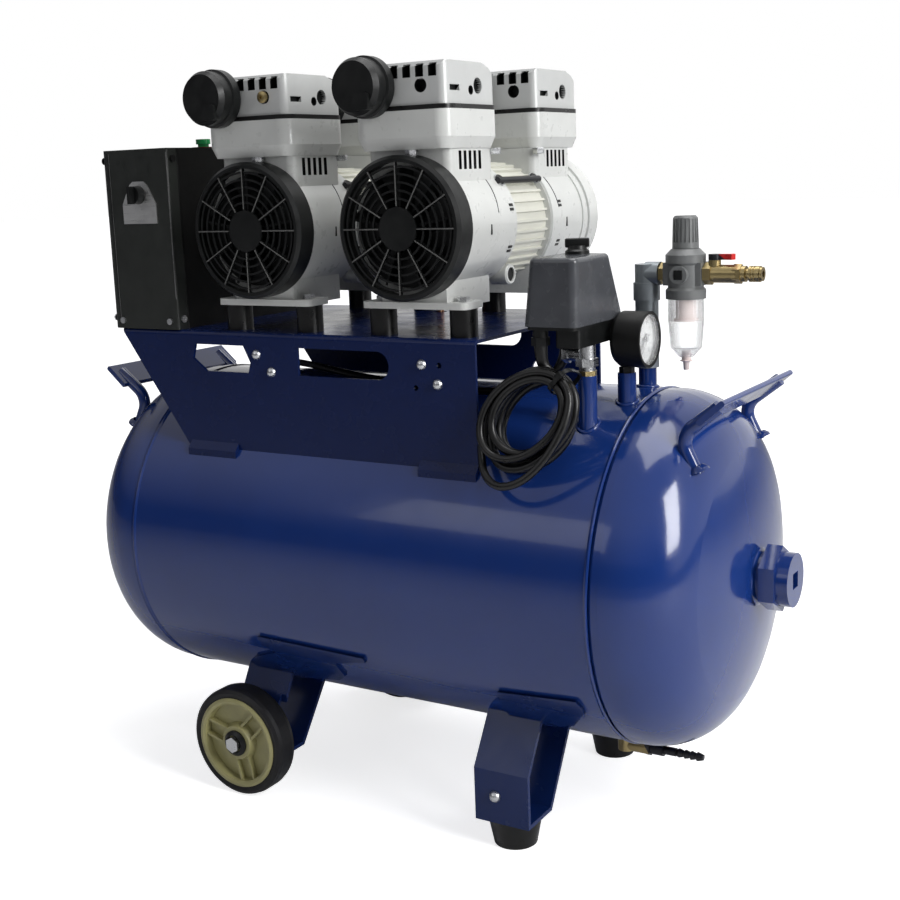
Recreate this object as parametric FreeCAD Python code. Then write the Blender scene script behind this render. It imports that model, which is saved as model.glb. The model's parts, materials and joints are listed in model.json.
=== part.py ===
import FreeCAD, Part
import math
import os

# Portable oil-free air compressor: a lying tank on two wheels and two feet, with a saddle bracket over it
# that carries two twin-cylinder pumps and a control box. Millimetres. X runs along the tank, -Y is the
# front, +Z is up. The origin is on the ground under the middle of the tank.

# Tank
TANK_RADIUS = 162.5
TANK_WALL = 3.0
TANK_AXIS_Z = 246.0
SHELL_LENGTH = 500.0
DOME_DEPTH = 84.0
DOME_KNUCKLE = 70.0
DOME_FLANGE = 11.0
SKIRT_DEPTH = 15.0
JOGGLE = 5.0
FIT = 0.1
SOCKET_RADIUS = 22.5
SOCKET_BORE = 13.0
SOCKET_PROUD = 5.0
PLUG_FLATS = 52.0
PLUG_HEX_LENGTH = 14.0
PLUG_FACE_RADIUS = 24.0
PLUG_FACE_LENGTH = 11.0
PLUG_DRIVE = 14.0
STUB_RADIUS = 8.2
STUB_BORE = 6.0
SWITCH_PORT = (216.5, -79.0)
SWITCH_STUB_TOP = TANK_AXIS_Z + TANK_RADIUS + 22.5
GAUGE_PORT = (236.0, -40.0)
GAUGE_STUB_TOP = TANK_AXIS_Z + TANK_RADIUS + 20.5
RISER_PORT = (232.0, 15.0)
RISER_STUB_TOP = TANK_AXIS_Z + TANK_RADIUS + 17.5
DRAIN_PORT_X = 212.0
DRAIN_SOCKET_LENGTH = 11.0

# Legs, wheels and feet
STRAP_THICKNESS = 4.0
STRAP_WIDTH = 55.0
SADDLE_THICKNESS = 3.0
FOOT_SADDLE = ((150, 34), (229, 31.5), (232, 34), (232, 37.5), (212, 48), (178, 55), (143, 55))
WHEEL_SADDLE = ((-113, 28), (11, 29.5), (11, 31.5), (-28, 35), (-28, 43), (-42, 48), (-104, 55),
                (-150, 55), (-150, 48), (-136, 41.5), (-99, 35), (-113, 32.5))
FOOT_LEG_X = 149.0
FOOT_WALL_Y = 134.0
FOOT_KNEE_Z = 76.0
FOOT_HEIGHT = 26.0
FOOT_TOP_RADIUS = 25.0
FOOT_BASE_RADIUS = 20.0
WHEEL_X = -143.0
WHEEL_RADIUS = 55.0
WHEEL_WIDTH = 28.0
RIM_RADIUS = 46.0
WHEEL_LEG_X = -134.0
WHEEL_WALL_Y = 123.0
WHEEL_LEG_FOOT_Z = 36.0
WHEEL_GAP = 3.0
AXLE_RADIUS = 6.0
RUNNING_GAP = 0.05
HUB_CAP_RADIUS = 13.0
HUB_ARMS = 3
HUB_ARM_START = -45.0
ARM_RIB_OFFSET = 8.0

# Saddle bracket
BRACKET_LEFT = -281.0
BRACKET_RIGHT = 133.0
BRACKET_BOTTOM_LEFT = -199.0
BRACKET_HALF_WIDTH = 126.0
BRACKET_SHEET = 3.0
BRACKET_BEND = 5.0
DECK_Z = 464.0
SLOT_TOP = 451.0
SLOT_HEIGHT = 26.0
LEFT_SLOT = (-188.0, -116.0)
RIGHT_SLOT = (-59.0, 43.0)
BACK_ARCH_X = 46.0
BACK_ARCH_RADIUS = 11.0
TAB_LENGTH = 60.0

# Handles
HANDLE_HALF_SPAN = 78.0
HANDLE_ROD = 6.0
HANDLE_FOOT_Z = TANK_AXIS_Z + TANK_RADIUS - 53.5
HANDLE_KNEE = (300.0, HANDLE_FOOT_Z + 28.0)
HANDLE_TIP = (341.0, HANDLE_FOOT_Z + 63.0)
GRIP_WIDTH = 30.0
GRIP_THICKNESS = 5.0

# Control box
BOX_LEFT = -293.0
BOX_RIGHT = -204.0
BOX_BACK = 94.0
BOX_HEIGHT = 176.0
BOX_SHEET = 1.5
LID_DEPTH = 14.0
PLATE_WIDTH = 44.0
PLATE_HEIGHT = 41.0
SELECTOR = (-243.0, 596.0)
SELECTOR_RADIUS = 9.0
BUTTON = (-246.0, -24.0)
BUTTON_RADIUS = 9.0
BUTTON_TRAVEL = 3.0
CAPACITOR_RADIUS = 20.0
CAPACITOR_LENGTH = 95.0
CAPACITOR_PITCH = 60.0

# Pumps
PUMP_X = {"left": -103.0, "right": 66.0}
SHAFT_Z = 560.0
SHAFT_RADIUS = 7.5
PUMP_HALF_LENGTH = 137.0
CYLINDER_Y = 82.0
COVER_RADIUS = 63.0
COVER_DEPTH = 22.0
COVER_WALL = 3.0
COVER_RIM = 6.0
GRILLE_THICKNESS = 3.0
GRILLE_SPOKES = 12
GRILLE_RINGS = (26.0, 33.0, 40.0, 47.0, 53.5)
GRILLE_BAR = 1.8
GRILLE_HUB = 19.0
FAN_RADIUS = 52.0
FAN_HUB_RADIUS = 15.0
FAN_WIDTH = 12.0
FAN_BLADES = 9
CASE_RADIUS = 58.0
CASE_CHAMBER = 46.0
CASE_WALL = 8.0
NECK_HALF_WIDTH = 43.0
COLLAR_BOTTOM = 627.0
COLLAR_HEIGHT = 33.0
COLLAR_HALF_X = 49.0
COLLAR_HALF_Y = 45.0
COLLAR_CORNER = 13.0
COLLAR_BEVEL = 10.0
COLLAR_INSET = 4.5
BORE_RADIUS = 30.5
SLEEVE_WALL = 2.3
GASKET_THICKNESS = 4.0
HEAD_HEIGHT = 36.0
HEAD_HALF_X = 46.0
HEAD_HALF_Y = 43.0
HEAD_SLOTS = 4
HEAD_SLOT_WIDTH = 8.0
HEAD_SLOT_PITCH = 13.0
HEAD_SLOT_START = -8.8
HEAD_SLOT_DEPTH = 10.0
NECK_VENTS = 5
VENT_WIDTH = 4.6
VENT_PITCH = 8.4
VENT_BOTTOM = 609.0
FOOT_PLATE_Z = 489.0
FOOT_PLATE_THICKNESS = 6.0
FOOT_PLATE_HALF_X = 55.0
FOOT_PLATE_LENGTH = 34.0
MOUNT_X = 42.5
MOUNT_Y = 101.5
MOUNT_RADIUS = 12.5
MOTOR_HALF_LENGTH = 40.0
MOTOR_RADIUS = 52.5
MOTOR_WALL = 5.0
MOTOR_FINS = 36
FIN_HEIGHT = 2.5
FIN_THICKNESS = 2.2
TIE_BAR = (46.0, 598.0)
ROTOR_RADIUS = 28.0
AIR_GAP = 0.5
STACK_HALF_LENGTH = 26.0
BEARING_RADIUS = 17.5
CRANK_THROW = 7.0
ECCENTRIC_RADIUS = 16.0
ROD_RADIUS = 23.0
ROD_WIDTH = 12.0
FILTER_X = -28.0
FILTER_Z = 681.0
FILTER_RADIUS = 26.5
FILTER_LENGTH = 29.0
DELIVERY_RADIUS = 4.0
CHECK_VALVE_X = -17.5

# Pressure switch, gauge, riser, filter-regulator and outlet
SWITCH_X = (178.5, 229.0)
SWITCH_Y = (-124.0, -28.0)
SWITCH_TOP_X = (184.0, 228.5)
SWITCH_TOP_Y = (-122.0, -54.0)
SWITCH_COVER_Z = (SWITCH_STUB_TOP + 46, SWITCH_STUB_TOP + 103)
SWITCH_BASE_DROP = 19.0
SWITCH_EDGE = 4.0
DECK_GROMMET = (-246.0, 40.0)
GLAND_RADIUS = 8.0
GLAND_LENGTH = 20.0
CORD_GLAND = (189.0, -111.0)
CABLE_GLAND = (189.0, -60.0)
GAUGE_RADIUS = 24.5
GAUGE_DEPTH = 28.5
GAUGE_STEM_INSET = 6.2
RISER_RADIUS = 10.5
OUTLET_Z = 511.0
REGULATOR_X = 269.5
REGULATOR_RADIUS = 17.8
REGULATOR_Z = (489.0, 533.0)
KNOB_RADIUS = 11.8
KNOB_HEIGHT = 29.0
KNOB_LIFT = 4.0
BOWL_RADIUS = 16.0
BOWL_BOTTOM = 437.0
BOWL_WALL = 2.0
VALVE_RADIUS = 8.0
VALVE_LENGTH = 34.0
VALVE_STEM_X = 296.5
LEVER_REACH = 19.0
COUPLER_LENGTH = 19.0
SLEEVE_TRAVEL = 3.0
DRAIN_Z = TANK_AXIS_Z - TANK_RADIUS - 19.5
DRAIN_RADIUS = 7.0
DRAIN_STEM_X = 240.0
DRAIN_TIP_X = 290.0

# Power cord: wound into a hank that hangs on the tank's shoulder below the pressure switch
CORD_RADIUS = 3.5
HANK_X = 179.5
HANK_HALF_WIDTH = 30.5
HANK_TOP = (-118.0, 426.5)
HANK_BOTTOM = (-143.3, 347.5)
HANK_SECTION = 12.0
PLUG_RADIUS = 13.0
PLUG_LENGTH = 34.0
PLUG_FRONT_X = 76.0
PLUG_Y = -109.0

V = FreeCAD.Vector
UNIT = {"X": V(1, 0, 0), "Y": V(0, 1, 0), "Z": V(0, 0, 1)}
PLACE = {"X": lambda u, v, w: V(w, u, v), "Y": lambda u, v, w: V(u, w, v), "Z": lambda u, v, w: V(u, v, w)}

shell_half = SHELL_LENGTH / 2
dome_tip = shell_half + DOME_FLANGE + DOME_DEPTH
skirt_radius = TANK_RADIUS - TANK_WALL - FIT
plug_seat = dome_tip + SOCKET_PROUD
collar_top = COLLAR_BOTTOM + COLLAR_HEIGHT
head_bottom = collar_top + GASKET_THICKNESS
case_front = PUMP_HALF_LENGTH - COVER_DEPTH
box_top = DECK_Z + BOX_HEIGHT
wheel_inner = WHEEL_WALL_Y + WHEEL_GAP
wheel_outer = wheel_inner + WHEEL_WIDTH


def cylinder(radius, length, base, axis="Z"):
    direction = UNIT[axis]
    start = V(*base)
    if length < 0:
        start = start + direction * length
    return Part.makeCylinder(radius, abs(length), start, direction)


def ring(outer, inner, length, base, axis="Z"):
    return cylinder(outer, length, base, axis).cut(cylinder(inner, length, base, axis))


def block(x0, x1, y0, y1, z0, z1):
    return Part.makeBox(x1 - x0, y1 - y0, z1 - z0, V(x0, y0, z0))


def prism(points, axis, start, end):
    corners = [PLACE[axis](u, v, start) for u, v in points]
    return Part.Face(Part.makePolygon(corners + corners[:1])).extrude(UNIT[axis] * (end - start))


def hexagon(flats, length, base, axis="Z"):
    radius = flats / math.sqrt(3)
    keep = {"X": (1, 2), "Y": (0, 2), "Z": (0, 1)}[axis]
    turns = [math.radians(60 * k + 30) for k in range(6)]
    points = [(base[keep[0]] + radius * math.cos(t), base[keep[1]] + radius * math.sin(t)) for t in turns]
    start = base["XYZ".index(axis)]
    return prism(points, axis, start, start + length)


def edges_along(shape, axis):
    found = []
    for edge in shape.Edges:
        if not isinstance(edge.Curve, Part.Line):
            continue
        if abs(edge.tangentAt(edge.FirstParameter).dot(UNIT[axis])) > 0.999:
            found.append(edge)
    return found


def rounded_block(x0, x1, y0, y1, z0, z1, radius, axis="Z"):
    solid = block(x0, x1, y0, y1, z0, z1)
    return solid.makeFillet(radius, edges_along(solid, axis))


def turned(profile, centre, axis):
    """Solid of revolution about the axis through the centre, from (radius, position along it) points"""
    side = UNIT["Z"] if axis != "Z" else UNIT["X"]
    points = [V(*centre) + UNIT[axis] * s + side * r for r, s in profile]
    return Part.Face(Part.makePolygon(points + points[:1])).revolve(V(*centre), UNIT[axis], 360)


def mirrored(shape, axis):
    return shape.mirror(V(0, 0, 0), UNIT[axis])


def moved(shape, dx=0.0, dy=0.0, dz=0.0):
    copy = shape.copy()
    copy.translate(V(dx, dy, dz))
    return copy


def turned_about(shape, centre, axis, angle):
    copy = shape.copy()
    copy.rotate(V(*centre), UNIT[axis], angle)
    return copy


def joined(shapes):
    return shapes[0].multiFuse(shapes[1:]).removeSplitter() if len(shapes) > 1 else shapes[0]


def route(points, radii):
    """Straight runs joined by tangent arcs of the given radii"""
    points = [V(*p) for p in points]
    edges = []
    start = points[0]
    for before, corner, after, radius in zip(points, points[1:], points[2:], radii):
        back = (before - corner).normalize()
        ahead = (after - corner).normalize()
        half = (math.pi - back.getAngle(ahead)) / 2
        cut = radius * math.tan(half)
        first = corner + back * cut
        last = corner + ahead * cut
        middle = corner + (back + ahead).normalize() * (radius / math.cos(half) - radius)
        if (first - start).Length > 1e-6:
            edges.append(Part.LineSegment(start, first).toShape())
        edges.append(Part.Arc(first, middle, last).toShape())
        start = last
    edges.append(Part.LineSegment(start, points[-1]).toShape())
    return Part.Wire(edges)


def swept(points, radii, radius):
    wire = route(points, radii)
    direction = V(*points[1]) - V(*points[0])
    circle = Part.Wire([Part.Circle(V(*points[0]), direction, radius).toShape()])
    return wire.makePipeShell([circle], True, False)


def cord_radii(points):
    """The largest arc at each point of a cord's route that its two runs allow"""
    radii = []
    for before, corner, after in zip(points, points[1:], points[2:]):
        back = V(*before) - V(*corner)
        ahead = V(*after) - V(*corner)
        half = (math.pi - back.getAngle(ahead)) / 2
        radii.append(0.45 * min(back.Length, ahead.Length) / math.tan(half))
    return radii


def strap(points, thickness, x0, x1):
    """Sheet strip bent along a line of (y, z) points, the thickness to the left of the line"""
    flat = [V(y, z, 0) for y, z in points]
    inner = []
    for k, point in enumerate(flat):
        near = [(b - a).normalize() for a, b in zip(flat[max(k - 1, 0):k + 1],
                                                    flat[max(k, 1) if k == 0 else k:k + 2])]
        normals = [V(-d.y, d.x, 0) for d in near]
        normal = normals[0] if len(normals) == 1 else (normals[0] + normals[1]).normalize()
        stretch = 1 / normal.dot(normals[0])
        inner.append(point + normal * thickness * stretch)
    outline = [(p.x, p.y) for p in flat] + [(p.x, p.y) for p in reversed(inner)]
    return prism(outline, "X", x0, x1)


def dome_solid(radius, depth, knuckle, x_start):
    """Dished end as a solid: a shallow crown run out through a tighter knuckle, flat side at x_start"""
    rise = radius - knuckle
    crown = (depth ** 2 + rise ** 2 - knuckle ** 2) / (2 * (depth - knuckle))
    centre = V(x_start + depth - crown, 0, TANK_AXIS_Z)
    bend = V(x_start, 0, TANK_AXIS_Z + rise)
    join = centre + (bend - centre).normalize() * crown
    rim = V(x_start, 0, TANK_AXIS_Z + radius)
    tip = V(x_start + depth, 0, TANK_AXIS_Z)
    mid_knuckle = bend + ((join - bend).normalize() + V(0, 0, 1)).normalize() * knuckle
    mid_crown = centre + ((join - centre).normalize() + V(1, 0, 0)).normalize() * crown
    foot = V(x_start, 0, TANK_AXIS_Z)
    wire = Part.Wire([Part.Arc(rim, mid_knuckle, join).toShape(), Part.Arc(join, mid_crown, tip).toShape(),
                      Part.LineSegment(tip, foot).toShape(), Part.LineSegment(foot, rim).toShape()])
    return Part.Face(wire).revolve(foot, UNIT["X"], 360)


def tank_cylinder(radius, x0=-600.0, x1=600.0):
    return cylinder(radius, x1 - x0, (x0, 0, TANK_AXIS_Z), "X")


def export(node, *solids):
    shape = solids[0] if len(solids) == 1 else Part.makeCompound(list(solids))
    shape.exportStep("parts/" + node + ".step")


def both_sides(shape, axis="Y"):
    return [shape, mirrored(shape, axis)]


def tank_surface_z(y):
    return TANK_AXIS_Z + math.sqrt(TANK_RADIUS ** 2 - y ** 2)


def make_tank():
    ports = [SWITCH_PORT, GAUGE_PORT, RISER_PORT]
    shell = ring(TANK_RADIUS, TANK_RADIUS - TANK_WALL, SHELL_LENGTH, (-shell_half, 0, TANK_AXIS_Z), "X")
    for x, y in ports:
        shell = shell.cut(cylinder(STUB_BORE, 2 * TANK_RADIUS, (x, y, TANK_AXIS_Z)))
    shell = shell.cut(cylinder(STUB_BORE, -2 * TANK_RADIUS, (DRAIN_PORT_X, 0, TANK_AXIS_Z)))
    shell = shell.cut(cylinder(STUB_BORE, 2 * TANK_RADIUS, (CHECK_VALVE_X, 0, TANK_AXIS_Z)))
    export("tank_shell", shell)

    skirt = turned([(skirt_radius - TANK_WALL, shell_half - SKIRT_DEPTH),
                    (skirt_radius, shell_half - SKIRT_DEPTH), (skirt_radius, shell_half + FIT),
                    (TANK_RADIUS, shell_half + JOGGLE), (TANK_RADIUS, shell_half + DOME_FLANGE),
                    (skirt_radius - TANK_WALL, shell_half + DOME_FLANGE)],
                   (0, 0, TANK_AXIS_Z), "X")
    crown = dome_solid(TANK_RADIUS, DOME_DEPTH, DOME_KNUCKLE, shell_half + DOME_FLANGE)
    thick = TANK_RADIUS - skirt_radius + TANK_WALL
    hollow = dome_solid(TANK_RADIUS - thick, DOME_DEPTH - thick, DOME_KNUCKLE - thick,
                        shell_half + DOME_FLANGE)
    end = joined([skirt, crown.cut(hollow)])
    end = end.cut(tank_cylinder(SOCKET_RADIUS + FIT, shell_half, plug_seat))
    socket_start = (dome_tip - 14, 0, TANK_AXIS_Z)
    socket = ring(SOCKET_RADIUS, SOCKET_BORE, plug_seat - dome_tip + 14, socket_start, "X")
    export("dished_ends", *(both_sides(end, "X") + both_sides(socket, "X")))
    plug = joined([hexagon(PLUG_FLATS, PLUG_HEX_LENGTH, (plug_seat, 0, TANK_AXIS_Z), "X"),
                   cylinder(PLUG_FACE_RADIUS, PLUG_FACE_LENGTH,
                            (plug_seat + PLUG_HEX_LENGTH, 0, TANK_AXIS_Z), "X"),
                   cylinder(SOCKET_BORE - FIT, -18, (plug_seat, 0, TANK_AXIS_Z), "X")])
    drive = PLUG_DRIVE / 2
    face = plug_seat + PLUG_HEX_LENGTH + PLUG_FACE_LENGTH
    plug = plug.cut(block(face - 9, face, -drive, drive, TANK_AXIS_Z - drive, TANK_AXIS_Z + drive))
    export("end_plugs", *both_sides(plug, "X"))

    stubs = []
    clear = tank_cylinder(TANK_RADIUS + FIT)
    for (x, y), top in zip(ports, [SWITCH_STUB_TOP, GAUGE_STUB_TOP, RISER_STUB_TOP]):
        stubs.append(ring(STUB_RADIUS, STUB_BORE, top - TANK_AXIS_Z, (x, y, TANK_AXIS_Z)).cut(clear))
    drain_bottom = TANK_AXIS_Z - TANK_RADIUS - DRAIN_SOCKET_LENGTH
    stubs.append(ring(STUB_RADIUS, STUB_BORE, TANK_AXIS_Z - drain_bottom,
                      (DRAIN_PORT_X, 0, drain_bottom)).cut(clear))
    export("tank_ports", *stubs)


def saddle_plate(outline):
    """Plate rolled to the tank's lower front, its outline in places along and degrees below level"""
    outside = TANK_RADIUS + SADDLE_THICKNESS
    window = [(x, TANK_AXIS_Z - outside * math.sin(math.radians(angle))) for x, angle in outline]
    ends = [x for x, angle in outline]
    return tank_cylinder(outside, min(ends), max(ends)).common(prism(window, "Y", -outside - 1, 0))


def make_legs():
    clear = tank_cylinder(TANK_RADIUS + FIT)
    half = STRAP_WIDTH / 2
    foot_line = [(-88, 146), (-FOOT_WALL_Y, FOOT_KNEE_Z), (-FOOT_WALL_Y, FOOT_HEIGHT),
                 (-FOOT_WALL_Y + 45, FOOT_HEIGHT), (-40, 104)]
    foot_leg = strap(foot_line, STRAP_THICKNESS, FOOT_LEG_X - half, FOOT_LEG_X + half)
    foot_leg = joined([foot_leg, saddle_plate(FOOT_SADDLE)]).cut(clear)
    foot_y = -FOOT_WALL_Y + 25
    foot_leg = foot_leg.cut(cylinder(4.2, 40, (FOOT_LEG_X, foot_y, 0)))
    side_bolt = (FOOT_LEG_X - 6, -FOOT_WALL_Y, FOOT_HEIGHT + 26)
    foot_leg = foot_leg.cut(cylinder(3.2, 6, side_bolt, "Y"))
    legs = both_sides(foot_leg)

    wheel_line = [(-88, 146), (-WHEEL_WALL_Y, FOOT_KNEE_Z + 8), (-WHEEL_WALL_Y, WHEEL_LEG_FOOT_Z),
                  (-WHEEL_WALL_Y + 32, WHEEL_LEG_FOOT_Z), (-40, 104)]
    left = WHEEL_LEG_X - half
    right = WHEEL_LEG_X + half
    wheel_leg = strap(wheel_line, STRAP_THICKNESS, left, right)
    taper = prism([(right, 20), (right + 1, 20), (right + 1, 125), (right, 125),
                   (right - 16, WHEEL_LEG_FOOT_Z + 10), (right - 16, 20)], "Y",
                  -WHEEL_WALL_Y - STRAP_THICKNESS - 1, -WHEEL_WALL_Y + STRAP_THICKNESS + 4)
    wheel_leg = joined([wheel_leg.cut(taper), saddle_plate(WHEEL_SADDLE)]).cut(clear)
    axle_start = (WHEEL_X, -WHEEL_WALL_Y - 10, WHEEL_RADIUS)
    wheel_leg = wheel_leg.cut(cylinder(AXLE_RADIUS + 0.2, 40, axle_start, "Y"))
    legs += both_sides(wheel_leg)

    export("tank_legs", *legs)

    top = FOOT_HEIGHT - FIT
    rubber = Part.makeCone(FOOT_BASE_RADIUS, FOOT_TOP_RADIUS, top, V(FOOT_LEG_X, foot_y, 0))
    rubber = rubber.cut(cylinder(9, 8, (FOOT_LEG_X, foot_y, 0)))
    rubber = rubber.cut(cylinder(4.2, 40, (FOOT_LEG_X, foot_y, 0)))
    export("rubber_feet", *both_sides(rubber))
    bolt = joined([hexagon(12, 5, (FOOT_LEG_X, foot_y, 3)), cylinder(4, 30, (FOOT_LEG_X, foot_y, 8 - FIT)),
                   hexagon(12, 6, (FOOT_LEG_X, foot_y, FOOT_HEIGHT + STRAP_THICKNESS))])
    bolt_x, bolt_y, bolt_z = side_bolt
    head = Part.makeSphere(5.5, V(*side_bolt))
    head = head.common(block(bolt_x - 6, bolt_x + 6, bolt_y - 6, bolt_y - FIT, bolt_z - 6, bolt_z + 6))
    screw = joined([head,
                    cylinder(3, 12, side_bolt, "Y"),
                    hexagon(9, 4, (bolt_x, bolt_y + STRAP_THICKNESS + FIT, bolt_z), "Y")])
    return both_sides(bolt) + both_sides(screw)


def make_wheels():
    centre = (WHEEL_X, 0, WHEEL_RADIUS)
    inner, outer = -wheel_inner, -wheel_outer
    hub = turned([(AXLE_RADIUS + RUNNING_GAP, inner - 1), (18, inner - 1), (18, inner - 10),
                  (RIM_RADIUS - 5, inner - 10), (RIM_RADIUS - 4, inner - 2), (RIM_RADIUS, inner - 2),
                  (RIM_RADIUS, outer + 1), (RIM_RADIUS - 3, outer), (RIM_RADIUS - 6, outer + 1),
                  (RIM_RADIUS - 7, outer + 9), (20, outer + 9), (17, outer + 1),
                  (AXLE_RADIUS + RUNNING_GAP, outer + 1)], centre, "Y")
    for k in range(HUB_ARMS):
        for z in (WHEEL_RADIUS - ARM_RIB_OFFSET, WHEEL_RADIUS + ARM_RIB_OFFSET):
            rib = block(WHEEL_X + 14, WHEEL_X + RIM_RADIUS - 6.5, outer + 3, outer + 10, z - 1.2, z + 1.2)
            hub = hub.fuse(turned_about(rib, centre, "Y", HUB_ARM_START + 360 * k / HUB_ARMS))
    hub = hub.removeSplitter()
    tread = [(RIM_RADIUS + FIT, inner - 3), (WHEEL_RADIUS - 4, inner - 1), (WHEEL_RADIUS - 1, inner - 3),
             (WHEEL_RADIUS, inner - 7), (WHEEL_RADIUS, outer + 7), (WHEEL_RADIUS - 1, outer + 3),
             (WHEEL_RADIUS - 4, outer + 1), (RIM_RADIUS + FIT, outer + 2)]
    tyre = turned(tread, centre, "Y")
    cap = turned([(9, outer + 1 - FIT), (HUB_CAP_RADIUS, outer + 1 - FIT), (HUB_CAP_RADIUS, outer - 1),
                  (HUB_CAP_RADIUS - 3, outer - 3), (9, outer - 3)], centre, "Y")
    for side, place in (("front", lambda s: s), ("rear", lambda s: mirrored(s, "Y"))):
        export(side + "_wheel_hub", place(hub), place(cap))
        export(side + "_wheel_tyre", place(tyre))
    head = outer + 0.6
    wall = -WHEEL_WALL_Y
    axle = joined([cylinder(AXLE_RADIUS, wall + 18 - head, (WHEEL_X, head, WHEEL_RADIUS), "Y"),
                   hexagon(14, -6.6, (WHEEL_X, head, WHEEL_RADIUS), "Y"),
                   hexagon(17, 7, (WHEEL_X, wall + STRAP_THICKNESS + FIT, WHEEL_RADIUS), "Y"),
                   ring(9, AXLE_RADIUS, WHEEL_GAP + 1 - 0.6, (WHEEL_X, -wheel_inner - 0.4, WHEEL_RADIUS),
                        "Y")])
    export("wheel_axles", *both_sides(axle))


def make_bracket():
    half = BRACKET_HALF_WIDTH
    foot_z = tank_surface_z(half)
    outline = [(BRACKET_LEFT, DECK_Z), (BRACKET_RIGHT, DECK_Z), (BRACKET_RIGHT, foot_z),
               (BRACKET_BOTTOM_LEFT, foot_z)]
    inside = half - BRACKET_SHEET
    bracket = prism(outline, "Y", -half, half)
    bends = [e for e in edges_along(bracket, "X") if abs(e.BoundBox.ZMax - DECK_Z) < 0.01]
    bracket = bracket.makeFillet(BRACKET_BEND, bends)
    void = block(BRACKET_LEFT - 9, BRACKET_RIGHT + 9, -inside, inside, foot_z - 9, DECK_Z - BRACKET_SHEET)
    void = void.makeFillet(BRACKET_BEND - BRACKET_SHEET,
                           [e for e in edges_along(void, "X")
                            if e.BoundBox.ZMin > DECK_Z - BRACKET_SHEET - 0.01])
    bracket = bracket.cut(void)
    tabs = []
    for x in (BRACKET_BOTTOM_LEFT + 2, BRACKET_RIGHT - TAB_LENGTH):
        tab = tank_cylinder(TANK_RADIUS + 4, x, x + TAB_LENGTH)
        tab = tab.cut(tank_cylinder(TANK_RADIUS, x, x + TAB_LENGTH))
        tab = tab.common(block(x, x + TAB_LENGTH, -half - 6, -inside, foot_z - 9, foot_z + 9))
        tabs += both_sides(tab)
    bracket = joined([bracket] + tabs).cut(tank_cylinder(TANK_RADIUS + FIT))

    left0, left1 = LEFT_SLOT
    right0, right1 = RIGHT_SLOT
    low = SLOT_TOP - SLOT_HEIGHT
    end = SLOT_HEIGHT / 2
    slot = prism([(left0 + 4, SLOT_TOP), (left1 - 8, SLOT_TOP), (left1, low + 10), (left1 - 3, low),
                  (left0 + 16, low), (left0, low + 12)], "Y", -half - 1, half + 1)
    long_slot = block(right0, right1 - end, -half - 1, half + 1, low, SLOT_TOP)
    long_slot = long_slot.fuse(cylinder(end, 2 * half + 2, (right1 - end, -half - 1, low + end), "Y"))
    bracket = bracket.cut(slot).cut(long_slot)
    arch = cylinder(BACK_ARCH_RADIUS, 2 * BRACKET_SHEET + 2, (BACK_ARCH_X + 20, inside - 1, low - 24), "Y")
    arch = arch.fuse(block(BACK_ARCH_X + 20 - BACK_ARCH_RADIUS, BACK_ARCH_X + 20 + BACK_ARCH_RADIUS,
                           inside - 1,
                           half + 1, low - 44, low - 24))
    bracket = bracket.cut(arch)
    for x, z in ((96.0, 441.0), (71.0, 420.0)):
        bracket = bracket.cut(cylinder(2.6, 2 * half + 2, (x, -half - 1, z), "Y"))
    for x in PUMP_X.values():
        for dx in (-MOUNT_X, MOUNT_X):
            for y in (-MOUNT_Y, MOUNT_Y):
                bracket = bracket.cut(cylinder(3.2, 30, (x + dx, y, DECK_Z - 15)))
    for x in (CHECK_VALVE_X - 12.5, CHECK_VALVE_X + 12.5):
        bracket = bracket.cut(cylinder(DELIVERY_RADIUS + 3, 30, (x, CYLINDER_Y, DECK_Z - 15)))
    bracket = bracket.cut(cylinder(7, 30, (*DECK_GROMMET, DECK_Z - 15)))
    export("saddle_bracket", bracket)

    screws = []
    for x, z in ((-108.0, 443.0), (-91.0, 427.0), (78.0, 441.0), (94.0, 424.0)):
        dome = Part.makeSphere(5.0, V(x, -half + 1, z))
        dome = dome.common(block(x - 9, x + 9, -half - 9, -half, z - 9, z + 9))
        screws += both_sides(dome)
    return screws


def make_handles():
    knee_x, knee_z = HANDLE_KNEE
    tip_x, tip_z = HANDLE_TIP
    reach = math.hypot(HANDLE_FOOT_Z - TANK_AXIS_Z, HANDLE_HALF_SPAN) - TANK_RADIUS + DOME_KNUCKLE
    foot_x = shell_half + DOME_FLANGE + math.sqrt(DOME_KNUCKLE ** 2 - reach ** 2)
    rods = []
    for y in (-HANDLE_HALF_SPAN, HANDLE_HALF_SPAN):
        points = [(foot_x - 2, y, HANDLE_FOOT_Z - 3), (knee_x, y, knee_z), (tip_x - 6, y, tip_z - 8)]
        rods.append(swept(points, [18.0], HANDLE_ROD))
    slope = V(tip_x - knee_x, 0, tip_z - knee_z).normalize()
    normal = V(-slope.z, 0, slope.x)
    tip = V(tip_x, 0, tip_z)
    corners = [tip, tip - slope * GRIP_WIDTH, tip - slope * GRIP_WIDTH - normal * GRIP_THICKNESS,
               tip - normal * GRIP_THICKNESS]
    span = HANDLE_HALF_SPAN + HANDLE_ROD + 6
    grip = prism([(c.x, c.z) for c in corners], "Y", -span, span)
    grip = grip.makeFillet(GRIP_THICKNESS * 0.4, edges_along(grip, "Y"))
    handle = joined([grip] + rods)
    solid_end = dome_solid(TANK_RADIUS + FIT, DOME_DEPTH + FIT, DOME_KNUCKLE + FIT,
                           shell_half + DOME_FLANGE)
    handle = handle.cut(solid_end)
    handle = max(handle.Solids, key=lambda s: s.Volume)
    export("carry_handles", *both_sides(handle, "X"))


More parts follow.
